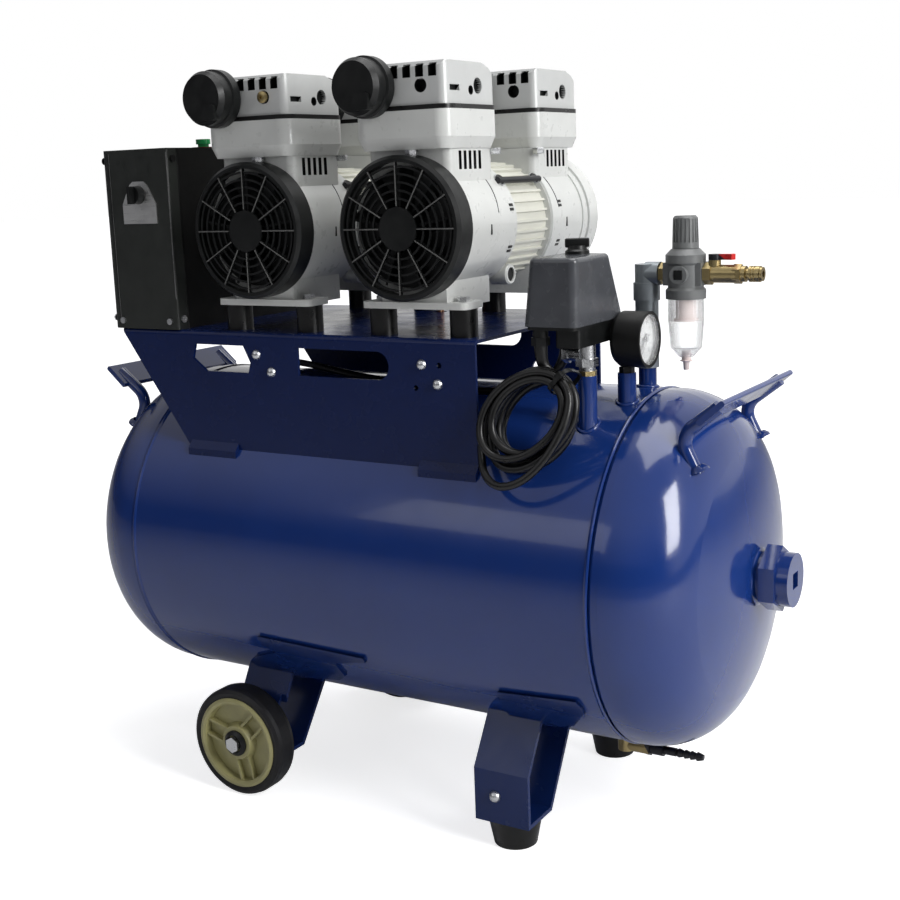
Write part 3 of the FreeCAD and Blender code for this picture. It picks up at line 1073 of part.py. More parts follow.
def make_cords():
    gx, gy = CORD_GLAND
    exit_z = SWITCH_COVER_Z[0] - GLAND_LENGTH + 3
    top = V(0, *HANK_TOP)
    down = (V(0, *HANK_BOTTOM) - top).normalize()
    length = (V(0, *HANK_BOTTOM) - top).Length
    w = HANK_HALF_WIDTH
    centre_top = V(HANK_X, 0, 0) + top + down * w
    centre_low = V(HANK_X, 0, 0) + top + down * (length - w)
    across = V(1, 0, 0)
    edges = [Part.Arc(centre_top - across * w, centre_top - down * w, centre_top + across * w).toShape(),
             Part.LineSegment(centre_top + across * w, centre_low + across * w).toShape(),
             Part.Arc(centre_low + across * w, centre_low + down * w, centre_low - across * w).toShape(),
             Part.LineSegment(centre_low - across * w, centre_top - across * w).toShape()]
    section = Part.Wire([Part.Circle(centre_top - across * w, down, HANK_SECTION).toShape()])
    hank = Part.Wire(edges).makePipeShell([section], True, False)
    export("power_cord_hank", hank)

    lead = cylinder(CORD_RADIUS, -(exit_z - HANK_TOP[1] + 6), (gx, gy, exit_z))
    plug_z = TANK_AXIS_Z + math.sqrt((TANK_RADIUS + PLUG_RADIUS + 0.4) ** 2 - PLUG_Y ** 2)
    neck_x = PLUG_FRONT_X + PLUG_LENGTH
    tail_points = [(153.0, -135.5, 356.5), (137.0, -114.5, 379.5), (neck_x + 12, PLUG_Y, plug_z)]
    radii = cord_radii(tail_points)
    print("power cord tail radii", [round(r, 1) for r in radii])
    tail = swept(tail_points, radii, CORD_RADIUS)
    plug = turned([(0, PLUG_FRONT_X), (PLUG_RADIUS, PLUG_FRONT_X), (PLUG_RADIUS, PLUG_FRONT_X + 16),
                   (PLUG_RADIUS - 5, neck_x), (5.5, neck_x), (4.5, neck_x + 12), (0, neck_x + 12)],
                  (0, PLUG_Y, plug_z), "X")
    pins = [cylinder(2.4, 19, (PLUG_FRONT_X - 19, PLUG_Y, plug_z + dz), "X") for dz in (-7, 7)]
    plug = joined([plug] + pins)
    export("power_plug", plug)
    export("power_cord", lead.cut(hank), tail.cut(hank).cut(plug))

    cx, cy = CABLE_GLAND
    cable = [(*DECK_GROMMET, DECK_Z + 8), (*DECK_GROMMET, DECK_Z - 18), (-238, 34, 424), (-205, 18, 415),
             (-158, -4, 418), (-110, -22, 417), (-60, -38, 413), (-5, -46, 410), (50, -52, 408),
             (100, -60, 408), (142, -66, 412), (172, -68, 422), (187, -67, 440), (cx, cy, exit_z)]
    radii = cord_radii(cable)
    print("switch cable radii", [round(r, 1) for r in radii])
    tube = swept(cable, radii, CORD_RADIUS)
    ratio = tube.Volume / (math.pi * CORD_RADIUS ** 2 * route(cable, radii).Length)
    print("switch cable length", round(route(cable, radii).Length), "volume ratio", round(ratio, 4))
    export("switch_cable", tube)


os.makedirs("parts", exist_ok=True)
make_tank()
make_wheels()
make_handles()
export("zinc_screws", *(make_legs() + make_bracket() + make_control_box() + make_pumps()))
make_delivery()
make_pressure_switch()
make_gauge()
make_riser_and_regulator()
make_drain()
make_cords()
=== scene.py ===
import json
import math

import bmesh
import bpy
from mathutils import Matrix, Vector


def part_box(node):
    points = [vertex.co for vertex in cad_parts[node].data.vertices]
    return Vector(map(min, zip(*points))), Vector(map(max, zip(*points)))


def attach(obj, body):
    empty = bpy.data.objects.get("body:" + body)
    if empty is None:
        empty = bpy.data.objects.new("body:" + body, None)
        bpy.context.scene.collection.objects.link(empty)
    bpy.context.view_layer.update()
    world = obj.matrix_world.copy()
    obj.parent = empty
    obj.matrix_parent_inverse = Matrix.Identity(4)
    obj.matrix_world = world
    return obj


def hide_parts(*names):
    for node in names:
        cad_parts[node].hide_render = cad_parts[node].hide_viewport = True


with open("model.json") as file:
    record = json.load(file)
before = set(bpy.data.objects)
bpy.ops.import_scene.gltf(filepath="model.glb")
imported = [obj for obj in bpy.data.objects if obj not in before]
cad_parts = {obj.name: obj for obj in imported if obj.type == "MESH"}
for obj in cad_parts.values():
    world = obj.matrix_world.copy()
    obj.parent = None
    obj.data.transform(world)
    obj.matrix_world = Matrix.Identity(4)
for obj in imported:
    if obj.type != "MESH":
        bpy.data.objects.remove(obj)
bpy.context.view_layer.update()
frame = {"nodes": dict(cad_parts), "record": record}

# Lengths are in metres and angles in degrees. Profiles of turned pieces are lists of
# (radius, distance along the axis), and half sizes are (X, Y, Z) from a block's middle.

# Places that the model's own parts give
SHAFT_Z = 0.560
PUMPS = {"left": -0.103, "right": 0.066}
TANK_RADIUS, TANK_AXIS_Z = 0.1625, 0.246
PORTS = {"switch": (0.2165, -0.079), "gauge": (0.236, -0.040), "riser": (0.232, 0.015)}
BOX_LEFT = -0.293
CORD_DIAMETER = 0.007
CORD_EXIT = (0.189, -0.111, 0.460)
CABLE_EXIT = (0.189, -0.060, 0.460)
DECK_EXIT = (-0.246, 0.040, 0.472)
PLUG_NECK = (0.122, -0.109, 0.384)

# Where a node changes finish from one face to the next. The control box's screws, left of
# BOX_SIDE, are black above BLACK_SCREW_Z and behind the lid's seam; the tie bar's screws, painted dark steel
# as painted shade for the shadow that the tie bar lies in, and the vents in the crankcases' necks, painted
# black as painted shade in their openings, are placed from each pump's middle.
BOX_SIDE, BLACK_SCREW_Z, LID_SEAM_Y = -0.196, 0.5, -0.108
TIE_SCREW_X, TIE_SCREW_Z, TIE_SCREW_REACH = 0.046, 0.598, 0.006
VENT_X, VENT_REACH = 0.039, 0.0035
VENT_Y, VENT_Z = (0.055, 0.11), (0.6085, 0.6265)
WHEEL_X, WHEEL_Z = -0.143, 0.055
HUB_CAP_RADIUS, HUB_CAP_Y = 0.0136, 0.1532
DRAIN_VALVE_X = 0.236
LEVER_STEM_X = 0.3035

# Cast pockets of the heads, painted black as painted shade inside them: their heights, the margin that a
# head's outer faces keep, how far in a pocket's face lies at least, and the shares of a normal that are
# edge-on, face-on and upward
HEAD_Y = 0.082
POCKET_Z = (0.668, 0.697)
POCKET_MARGIN, POCKET_SKIN = 0.008, 0.0022
EDGE_ON, FACE_ON, UPWARD = 0.03, 0.97, 0.9

# Angles from which an edge is drawn sharp, on the model's nodes and on the pieces made here
NODE_SHARP, PIECE_SHARP = 28, 35

# The hank of power cord hangs in a plane that leans out over the tank; its turns are
# ellipses in that plane, each with a centre (right, down), two half lengths, a tilt and its
# height off the plane
HANK_ORIGIN = Vector((0.0, -0.113, 0.443))
HANK_DOWN = Vector((0.0, -0.0265, -0.091)).normalized()
HANK_OUT = Vector((1.0, 0.0, 0.0)).cross(HANK_DOWN) * -1
TURNS = [
    (0.1825, 0.0465, 0.0485, 0.0360, 40, -0.0130),
    (0.1840, 0.0445, 0.0385, 0.0285, 40, -0.0130),
    (0.1845, 0.0440, 0.0375, 0.0285, 47, -0.0057),
    (0.1825, 0.0455, 0.0475, 0.0360, 47, -0.0057),
    (0.1815, 0.0470, 0.0490, 0.0365, 36, 0.0016),
    (0.1830, 0.0450, 0.0385, 0.0290, 36, 0.0016),
    (0.1855, 0.0435, 0.0370, 0.0285, 52, 0.0089),
    (0.1835, 0.0450, 0.0470, 0.0355, 52, 0.0089),
    (0.1765, 0.0580, 0.0510, 0.0410, 20, 0.0165),
]
TURN_START, TURN_END, TURN_STEP = 45, 2730, 30
FIRST_SWITCH, SWITCH_EVERY, SWITCH_ANGLE = 335, 315, 90
NEARLY_ONE = 0.999
EASE, RESTORE, EASE_PASSES = 0.5, -0.52, 3

# How finely curves are drawn: sides of the round, order of the spline and steps along it
CORD_ROUNDNESS, BEAD_ROUNDNESS, SPLINE_ORDER, CORD_STEPS = 4, 2, 3, 6

# The cords' free stretches and the reliefs where they leave the part
CORD_START = [CORD_EXIT, (0.189, -0.111, 0.448), (0.193, -0.1085, 0.436), (0.206, -0.106, 0.427)]
CORD_END = [(0.1385, -0.1240, 0.370), (0.131, -0.1150, 0.379), PLUG_NECK]
CABLE_ROUTE = [
    DECK_EXIT, (-0.246, 0.040, 0.446), (-0.238, 0.034, 0.424), (-0.205, 0.018, 0.415),
    (-0.158, -0.004, 0.418), (-0.110, -0.022, 0.417), (-0.060, -0.038, 0.413),
    (-0.005, -0.046, 0.410), (0.050, -0.052, 0.408), (0.100, -0.060, 0.408),
    (0.142, -0.066, 0.412), (0.172, -0.068, 0.422), (0.187, -0.067, 0.440), CABLE_EXIT,
]
RELIEF_DIAMETER, RELIEF_WIDTHS = 0.0118, [1.0, 0.92, 0.78, 0.64]
RELIEFS = {
    "power_cord_relief": [(0.189, -0.111, 0.4615), (0.189, -0.111, 0.4490),
                          (0.1912, -0.1096, 0.4415), (0.1962, -0.1082, 0.4350)],
    "switch_cable_relief": [(0.189, -0.060, 0.4615), (0.1885, -0.0625, 0.4500),
                            (0.187, -0.067, 0.4400), (0.1830, -0.0675, 0.4340)],
    "deck_cable_relief": [(-0.246, 0.040, 0.4605), (-0.246, 0.040, 0.4500),
                          (-0.245, 0.0393, 0.4420), (-0.2425, 0.0375, 0.4340)],
}

# The strap round the hank: its place in the hank's plane (right, down, out), how steeply the
# strands run through it, its two half sizes, and the block that locks it
STRAP_PLACE = (0.2125, 0.0125, -0.0022)
STRAP_LEVEL, STRAP_STEEP = 0.755, 0.656
STRAP_HALF, STRAP_CORNERS, STRAP_POINTS = (0.0122, 0.0156), 0.6, 32
STRAP_HALF_WIDTH, STRAP_THICKNESS = 0.0019, 0.0012
STRAP_HEAD_OUT, STRAP_HEAD_ACROSS, STRAP_HEAD_TURN = 0.0172, 0.004, -40
STRAP_HEAD_HALF, STRAP_HEAD_BEVEL = (0.0034, 0.0022, 0.0026), 0.0006

# Weld beads of the tank
SIDES = ((-1, "left"), (1, "right"))
SEAM_X, SEAM_SIDES = 0.2485, 180
SEAM = [(TANK_RADIUS, 0.0), (TANK_RADIUS + 0.0010, 0.0014), (TANK_RADIUS + 0.0012, 0.0022),
        (TANK_RADIUS + 0.0008, 0.0030), (TANK_RADIUS - 0.0004, 0.0036)]
SOCKET_X, SOCKET_SIDES = 0.3462, 60
SOCKET_WELD = [(0.0226, 0.0), (0.0262, -0.0024), (0.0275, -0.0042), (0.0226, -0.0042)]
PORT_WELD_RADIUS, PORT_WELD_DIAMETER = 0.0092, 0.0034
PORT_WELD_POINTS, PORT_WELD_PROUD = 20, 0.0004
HANDLE_X, HANDLE_Y, HANDLE_Z = 0.3165, 0.078, 0.3555
HANDLE_LEAN, HANDLE_SIDES = (15, 31), 28
HANDLE_WELD = [(0.0062, 0.004), (0.0092, 0.0008), (0.0098, -0.0016), (0.0062, -0.0016)]

# Rings about each pump's shaft
CASE_SIDES = 96
CASE_RIM_Y, BELL_FLANGE_Y, BELL_BAND_Y = -0.0400, 0.0408, 0.1080
CASE_RIM = [(0.0558, 0.0), (0.0578, 0.0), (0.0578, 0.0135), (0.0570, 0.0145), (0.0558, 0.0145)]
BELL_FLANGE = [(0.0582, 0.0), (0.0598, 0.0008), (0.0598, 0.0032), (0.0582, 0.004)]
BELL_BAND = [(0.0560, 0), (0.0595, 0), (0.0612, 0.010), (0.0612, 0.020), (0.0560, 0.020)]

# Threaded boss at the right of each crankcase, its X counted from the pump's middle
BOSS_X, BOSS_Y, BOSS_Z = 0.024, -0.0131, 0.5116
BOSS = [(0.0066, 0), (0.0096, 0), (0.0096, 0.017), (0.0084, 0.0185), (0.0066, 0.0185)]
BOSS_HOLE = [(0, 0.010), (0.0067, 0.010), (0.0067, 0.0170), (0, 0.0170)]

# Bolts under each cylinder's collar, (X, Y) from the pump's middle; Y is that of the front end
BOLTS = {"_neck_bolt": (0.008, -0.1215), "_side_bolt": (0.0455, -0.0420)}
BOLT_Z, BOLT_FLATS, BOLT_HEIGHT = 0.6268, 0.010, 0.0055
BOLT_CHAMFER_START, BOLT_CHAMFER = 0.75, 0.88

# Marks on each crankcase's barrel: the angle from the right, Y and distance from the shaft
CAP_ANGLE, CAP_Y, CAP_SEAT = 41, -0.033, 0.0578
CAP_RING = [(0.0050, 0), (0.0062, 0), (0.0062, 0.0012), (0.0050, 0.0012)]
CAP = [(0, 0), (0.0050, 0), (0.0050, 0.0026), (0.0042, 0.0032), (0, 0.0032)]
CLIP_ANGLES, CLIP_SEAT = (16, 12, -22, -26), 0.0577
FRONT_CLIP_Y, REAR_CLIP_Y = -0.034, 0.062
CLIP_HALF, CLIP_BEVEL = (0.0006, 0.0034, 0.0013), 0.0003
SLIT_ANGLE, SLIT_Y, SLIT_SEAT = -4, -0.074, 0.0580
SLIT_HALF, SLIT_BEVEL = (0.0005, 0.0009, 0.0045), 0.0002
CASE_SEAM_ANGLES, CASE_SEAM_SEAT = range(52, 4, -6), 0.0580
CASE_SEAM_Y, CASE_SEAM_SLANT, CASE_SEAM_DIAMETER = -0.060, 0.0001, 0.0011

# Painted highlights on the front grilles' spokes: light strips that stand for the light caught on their
# crests
SPOKES, SPOKE_Y, SPOKE_MIDDLE = 12, -0.1372, 0.0385
SPOKE_HALF, SPOKE_BEVEL = (0.0185, 0.0002, 0.0005), 0.0001

# Fittings: the switch, the plug in the left pump's head, the gauge and the regulator
STUB_RING_Z = 0.4312
STUB_RING = [(0.0066, 0), (0.0088, 0), (0.0088, 0.0040), (0.0066, 0.0040)]
KNOB_PLACE = (0.203, -0.066, 0.5336)
KNOB = [(0, 0), (0.0105, 0), (0.0105, 0.003), (0.0085, 0.0045), (0.0078, 0.0075), (0, 0.0075)]
GRIP_LOW, GRIP_HIGH = (0.1925, -0.0695, 0.5395), (0.2135, -0.0625, 0.5475)
GRIP_BEVEL, GRIP_TURN = 0.0018, 25
HEAD_PORT = (-0.0810, -0.1262, 0.6800)
HEAD_PLUG = [(0, 0), (0.0052, 0), (0.0052, 0.0022), (0.0040, 0.0030), (0.0018, 0.0030),
             (0.0018, 0.0010), (0, 0.0010)]
DIAL_Y, DIAL_Z, TICK_RADIUS = -0.040, 0.4585, 0.0158
TICKS, FIRST_TICK, TICK_STEP, LONG_EVERY = 11, 225, 27, 5
LONG_TICK, SHORT_TICK, TICK_WIDTH, TICK_PROUD, TICK_BEVEL = 0.0024, 0.0015, 0.0003, 0.0001, 0.00005
REGULATOR_PORT_X, REGULATOR_PORT_Z = (0.2655, 0.2735), (0.5068, 0.5152)
REGULATOR_PORT_PROUD, REGULATOR_PORT_DEPTH, REGULATOR_PORT_BEVEL = 0.0003, 0.0006, 0.0003

# View: the lens and its centre are in pixels of a picture IMAGE_SIZE wide and high
CAMERA = Vector((0.717, -1.115, 0.605))
AZIMUTH, PITCH, ROLL = math.radians(31.2), math.radians(10.2), math.radians(-2.1)
FOCAL_PIXELS = 1349.4
PRINCIPAL = (462.3, 416.8)
IMAGE_SIZE = 900
SENSOR = 36.0

# Lamps: name, place, target, size and power in watts
LAMPS = [
    ("overhead", (0.3, 0.3, 2.3), (0.1, 0, 0.4), (1.6, 1.2), 26),
    ("right key", (2.3, -0.5, 1.4), (0.1, 0, 0.4), (0.7, 1.5), 52),
    ("front fill", (-1.0, -2.4, 1.6), (0, 0, 0.4), (1.2, 0.8), 3.5),
]

# Backdrop: what glossy paint shows from straight down (0) to straight up (1), the even fill,
# the directions between which it turns white, and the floor's glow at two distances
WHITE = (1, 1, 1, 1)
LOW_STOP, MIDDLE_STOP, HIGH_STOP = 0.30, 0.58, 0.80
LOW_SHADE, MIDDLE_SHADE, HIGH_SHADE = (0.09, 0.09, 0.10, 1), (0.04, 0.04, 0.05, 1), (0.62, 0.62, 0.64, 1)
FILL = (0.17, 0.17, 0.18, 1)
SIDEWAYS, WHITE_FROM, WHITE_TO = 0.55, 0.05, 0.55
FLOOR_SIZE, FLOOR_DROP = 40, 0.0005
FLOOR_GLOW, FLOOR_GLOW_FAR = 0.74, 1.0
GLOW_START, GLOW_STOP = 0.6, 2.4

# Materials
COAT_ROUGHNESS = 0.06
LEAST_ROUGH = 0.02
GRAIN_LIGHTER, GRAIN_LIFT = 1.35, 0.002
CAST_SHADE, TURNED_SHADE = 0.86, 0.72
CLEAR_IOR, CLEAR_TRANSMISSION, CLEAR_ALPHA = 1.49, 0.92, 0.62


def add_node(tree, kind, **settings):
    made = tree.nodes.new(kind)
    for key, value in settings.items():
        setattr(made, key, value)
    return made


def feed(tree, target, value):
    """Gives a node's input a fixed value, or links another node's output to it"""
    if isinstance(value, bpy.types.NodeSocket):
        tree.links.new(value, target)
    else:
        target.default_value = value


def mix_colours(tree, factor, first, second):
    mixer = add_node(tree, "ShaderNodeMix", data_type="RGBA")
    for key, value in (("Factor", factor), ("A", first), ("B", second)):
        feed(tree, mixer.inputs[key], value)
    return mixer.outputs["Result"]


def map_range(tree, value, start, stop, low=0.0, high=1.0, kind="LINEAR"):
    """Takes a value from the range start..stop to the range low..high"""
    ranged = add_node(tree, "ShaderNodeMapRange", interpolation_type=kind)
    for key, given in (("Value", value), ("From Min", start), ("From Max", stop),
                       ("To Min", low), ("To Max", high)):
        feed(tree, ranged.inputs[key], given)
    return ranged.outputs["Result"]


def calculate(tree, operation, *values):
    result = add_node(tree, "ShaderNodeMath", operation=operation)
    for target, value in zip(result.inputs, values):
        feed(tree, target, value)
    return result.outputs["Value"]


def sees_backdrop(tree):
    """1 for rays from the camera, also through clear plastic, and 0 for those that light the part"""
    path = add_node(tree, "ShaderNodeLightPath")
    return calculate(tree, "MAXIMUM", path.outputs["Is Camera Ray"], path.outputs["Is Transmission Ray"])


class Surface:
    """A Principled shader whose colour, gloss and relief drift with noise over the piece"""

    def __init__(self, name, colour, rough, metal=0.0, coat=0.0, ior=1.5, specular=0.5):
        self.material = bpy.data.materials.new(name)
        self.material.use_nodes = True
        self.tree = self.material.node_tree
        self.shader = self.tree.nodes["Principled BSDF"]
        self.colour, self.rough = (*colour, 1.0), rough
        self.material.diffuse_color = self.colour
        self.coords = add_node(self.tree, "ShaderNodeTexCoord").outputs["Object"]
        settings = {"Base Color": self.colour, "Roughness": rough, "Metallic": metal, "IOR": ior,
                    "Coat Weight": coat, "Coat Roughness": COAT_ROUGHNESS, "Specular IOR Level": specular}
        for key, value in settings.items():
            self.feed(key, value)

    def feed(self, key, value):
        feed(self.tree, self.shader.inputs[key], value)

    def noise(self, scale, detail=4.0, stretch=(1, 1, 1)):
        place = add_node(self.tree, "ShaderNodeMapping")
        feed(self.tree, place.inputs["Scale"], stretch)
        feed(self.tree, place.inputs["Vector"], self.coords)
        texture = add_node(self.tree, "ShaderNodeTexNoise")
        for key, value in (("Scale", scale), ("Detail", detail), ("Vector", place.outputs["Vector"])):
            feed(self.tree, texture.inputs[key], value)
        return texture.outputs["Fac"]

    def between(self, factor, low, high, start=0.3, stop=0.7):
        """Spreads a factor over low..high; start and stop suit a noise, which seldom passes them"""
        return map_range(self.tree, factor, start, stop, low, high)

    def tint(self, factor, shade, amount):
        """Drifts the colour towards a second shade where the texture is strong"""
        share = self.between(factor, 0.0, amount)
        self.feed("Base Color", mix_colours(self.tree, share, self.colour, (*shade, 1.0)))

    def vary_gloss(self, factor, spread):
        smooth, dull = max(self.rough - spread, LEAST_ROUGH), self.rough + spread
        self.feed("Roughness", self.between(factor, smooth, dull))

    def relief(self, factor, depth, strength):
        bump = add_node(self.tree, "ShaderNodeBump")
        for key, value in (("Strength", strength), ("Distance", depth), ("Height", factor)):
            feed(self.tree, bump.inputs[key], value)
        self.feed("Normal", bump.outputs["Normal"])


def darker(colour, share):
    return tuple(part * share for part in colour)


def painted(name, colour, shade, rough, peel=0.00015, coat=0.4, specular=0.35):
    """Sprayed enamel: slow drifts of shade and a faint orange peel"""
    surface = Surface(name, colour, rough, coat=coat, specular=specular)
    surface.tint(surface.noise(scale=9.0, detail=3.0), shade, amount=0.5)
    surface.vary_gloss(surface.noise(scale=40.0), spread=0.05)
    surface.relief(surface.noise(scale=320.0, detail=2.0), peel, strength=0.25)
    return surface.material


def moulded(name, colour, rough, grain=400.0, depth=0.0002, specular=0.5):
    """Moulded plastic, rubber or powder coat with a fine grain"""
    surface = Surface(name, colour, rough, specular=specular)
    light = tuple(min(part * GRAIN_LIGHTER + GRAIN_LIFT, 1.0) for part in colour)
    surface.tint(surface.noise(scale=60.0), light, amount=0.5)
    surface.vary_gloss(surface.noise(scale=90.0), spread=0.08)
    surface.relief(surface.noise(grain, detail=2.0), depth, strength=0.15)
    return surface.material


def cast_metal(name, colour, rough, metal=0.0, coat=0.0):
    """Bare or painted casting with a sandy skin"""
    surface = Surface(name, colour, rough, metal=metal, coat=coat)
    surface.tint(surface.noise(scale=30.0), darker(colour, CAST_SHADE), amount=0.5)
    surface.vary_gloss(surface.noise(scale=120.0), spread=0.04)
    surface.relief(surface.noise(scale=300.0, detail=3.0), depth=0.0003, strength=0.1)
    return surface.material


def turned_metal(name, colour, rough, stretch=(60, 1, 60)):
    """Machined or plated metal with fine streaks along the axis that isn't stretched"""
    surface = Surface(name, colour, rough, metal=1.0)
    streaks = surface.noise(scale=30.0, detail=5.0, stretch=stretch)
    surface.tint(surface.noise(scale=45.0), darker(colour, TURNED_SHADE), amount=0.7)
    surface.vary_gloss(streaks, spread=0.1)
    surface.relief(streaks, depth=0.00008, strength=0.25)
    return surface.material


def clear_plastic(name, colour, rough):
    surface = Surface(name, colour, rough, ior=CLEAR_IOR)
    surface.feed("Transmission Weight", CLEAR_TRANSMISSION)
    surface.feed("Alpha", CLEAR_ALPHA)
    surface.vary_gloss(surface.noise(scale=35.0), spread=0.03)
    surface.relief(surface.noise(scale=60.0), depth=0.0002, strength=0.15)
    return surface.material


# Finishes by name: those of the record's slots, then those of single nodes, faces and pieces
MATERIALS = {
    "tank_blue": painted("tank enamel", (0.008, 0.032, 0.17), (0.005, 0.021, 0.12), 0.15),
    "bracket_navy": painted("bracket enamel", (0.004, 0.013, 0.072), (0.003, 0.009, 0.052), 0.26,
                            peel=0.0001, coat=0.06, specular=0.2),
    "pump_grey": cast_metal("pump paint", (0.61, 0.62, 0.60), 0.3, coat=0.25),
    "cast_aluminium": cast_metal("head casting", (0.56, 0.57, 0.56), 0.38, metal=0.2),
    "black_plastic": moulded("black moulding", (0.0035, 0.004, 0.004), 0.4, specular=0.3),
    "black_paint": moulded("black powder coat", (0.003, 0.003, 0.003), 0.48, grain=500.0, specular=0.25),
    "dark_grey_plastic": moulded("switch cover moulding", (0.052, 0.055, 0.062), 0.24),
    "grey_plastic": moulded("regulator moulding", (0.125, 0.13, 0.13), 0.36),
    "rubber_black": moulded("rubber", (0.003, 0.003, 0.003), 0.33, specular=0.4),
    "tyre_rubber": moulded("tyre rubber", (0.006, 0.006, 0.007), 0.5, specular=0.3),
    "cream_plastic": moulded("hub moulding", (0.30, 0.28, 0.13), 0.42),
    "zinc": turned_metal("zinc plate", (0.66, 0.67, 0.68), 0.28),
    "brass": turned_metal("brass", (0.42, 0.33, 0.16), 0.34),
    "steel": turned_metal("steel", (0.40, 0.41, 0.42), 0.32),
    "copper": turned_metal("copper tube", (0.62, 0.33, 0.20), 0.3),
    "red_plastic": moulded("red grip", (0.50, 0.012, 0.010), 0.35),
    "green_plastic": moulded("green button", (0.01, 0.26, 0.07), 0.3),
    "clear_bowl": clear_plastic("clear bowl", (0.95, 0.96, 0.96), 0.04),
    "white_paint": moulded("dial paint", (0.90, 0.90, 0.89), 0.5, grain=200.0, depth=0.00005),
    "pale_plastic": moulded("sintered element", (0.70, 0.60, 0.58), 0.7, grain=1500.0, depth=0.0006),
    "leg enamel": painted("leg enamel", (0.006, 0.021, 0.105), (0.004, 0.014, 0.075), 0.24,
                          peel=0.0001, coat=0.1, specular=0.25),
    "lid coat": moulded("lid powder coat", (0.014, 0.016, 0.014), 0.42, grain=500.0, specular=0.4),
    "galvanised": cast_metal("galvanised pipe", (0.30, 0.33, 0.35), 0.36, metal=0.7),
    "motor paint": cast_metal("motor shell paint", (0.64, 0.64, 0.57), 0.4),
    "bright plate": turned_metal("bright plate", (0.82, 0.82, 0.80), 0.36, stretch=(1, 60, 60)),
    # Painted highlight: a grey that stands for the light caught on the control box lid's edges
    "edge": moulded("painted edge highlight", (0.10, 0.10, 0.10), 0.3),
    "dark steel": turned_metal("dark steel", (0.05, 0.05, 0.055), 0.35),
    "dark red": moulded("bezel", (0.10, 0.006, 0.006), 0.4),
    # Painted highlight: the light strips on the grilles' spokes
    "spoke": moulded("painted spoke highlight", (0.10, 0.10, 0.097), 0.35),
}
NODE_FINISHES = {
    "tank_legs": "leg enamel", "control_box_lid": "lid coat", "riser_elbow": "galvanised",
    "motor_shells": "motor paint", "selector_plate": "bright plate", "button_bezel": "dark red",
}


def shade_smooth(mesh, sharp_from):
    for polygon in mesh.polygons:
        polygon.use_smooth = True
    mesh.set_sharp_from_angle(angle=math.radians(sharp_from))


def dress_nodes():
    slots = {part["node"]: part["material_slot"] for part in frame["record"]["subparts"]}
    for name, node in frame["nodes"].items():
        node.data.materials.clear()
        node.data.materials.append(MATERIALS[NODE_FINISHES.get(name, slots[name])])
        shade_smooth(node.data, NODE_SHARP)
    paint_faces("zinc_screws", "black_paint",
                lambda c: c.x < BOX_SIDE and (c.z > BLACK_SCREW_Z or c.y > LID_SEAM_Y))
    for x in PUMPS.values():
        # Painted shade: the tie bar's screws are painted dark steel for the shadow that the tie bar lies in
        paint_faces("zinc_screws", "dark steel",
                    lambda c: abs(c.x - x - TIE_SCREW_X) < TIE_SCREW_REACH
                    and abs(c.z - TIE_SCREW_Z) < TIE_SCREW_REACH)
        # Painted shade: the vents in the crankcases' necks are painted black for the shade inside them
        paint_faces("crankcases", "black_plastic",
                    lambda c: abs(abs(c.x - x) - VENT_X) < VENT_REACH
                    and VENT_Z[0] < c.z < VENT_Z[1] and VENT_Y[0] < abs(c.y) < VENT_Y[1])
    for name in ("front_wheel_hub", "rear_wheel_hub"):
        paint_faces(name, "black_plastic",
                    lambda c: math.hypot(c.x - WHEEL_X, c.z - WHEEL_Z) < HUB_CAP_RADIUS
                    and abs(c.y) > HUB_CAP_Y)
    # Painted shade: the heads' cast pockets are painted black
    paint_pocket_shade("cylinder_heads", "black_plastic")
    paint_faces("drain_valve", "dark steel", lambda c: c.x > DRAIN_VALVE_X)
    paint_faces("outlet_lever", "dark steel", lambda c: c.x < LEVER_STEM_X)


def paint_faces(name, finish, test):
    """Gives the faces of a node whose centres pass the test a finish of their own"""
    mesh, material = frame["nodes"][name].data, MATERIALS[finish]
    if material.name not in mesh.materials:
        mesh.materials.append(material)
    index = mesh.materials.find(material.name)
    for polygon in mesh.polygons:
        if test(polygon.center):
            polygon.material_index = index


def paint_pocket_shade(name, finish):
    """Paints painted shade: the walls and floors of the heads' cast pockets, which lie inside the outer
    faces, get a dark finish for the shade inside them
    """
    mesh = frame["nodes"][name].data
    mesh.materials.append(MATERIALS[finish])
    index = len(mesh.materials) - 1
    low, high = POCKET_Z

    def place(point):
        return min(abs(point.x - x) for x in PUMPS.values()), abs(abs(point.y) - HEAD_Y)

    def square(share):
        return not EDGE_ON < abs(share) < FACE_ON

    band = [place(vert.co) for vert in mesh.vertices if low < vert.co.z < high]
    half_width, half_depth = max(w for w, d in band), max(d for w, d in band)
    for polygon in mesh.polygons:
        out = polygon.normal
        across, along = place(polygon.center)
        front = across < half_width - POCKET_MARGIN and along < half_depth - POCKET_SKIN and square(out.y)
        side = along < half_depth - POCKET_MARGIN and across < half_width - POCKET_SKIN and square(out.x)
        if low < polygon.center.z < high and abs(out.z) < UPWARD and (front or side):
            polygon.material_index = index


def add_object(name, data):
    added = bpy.data.objects.new(name, data)
    bpy.context.scene.collection.objects.link(added)
    return added


def settle(piece, finish):
    """Gives a new piece its finish and puts it on the tank's body"""
    piece.data.materials.append(MATERIALS[finish])
    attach(piece, "tank")


def turns(count):
    """Angles in radians that share out a full turn"""
    return [2 * math.pi * k / count for k in range(count)]


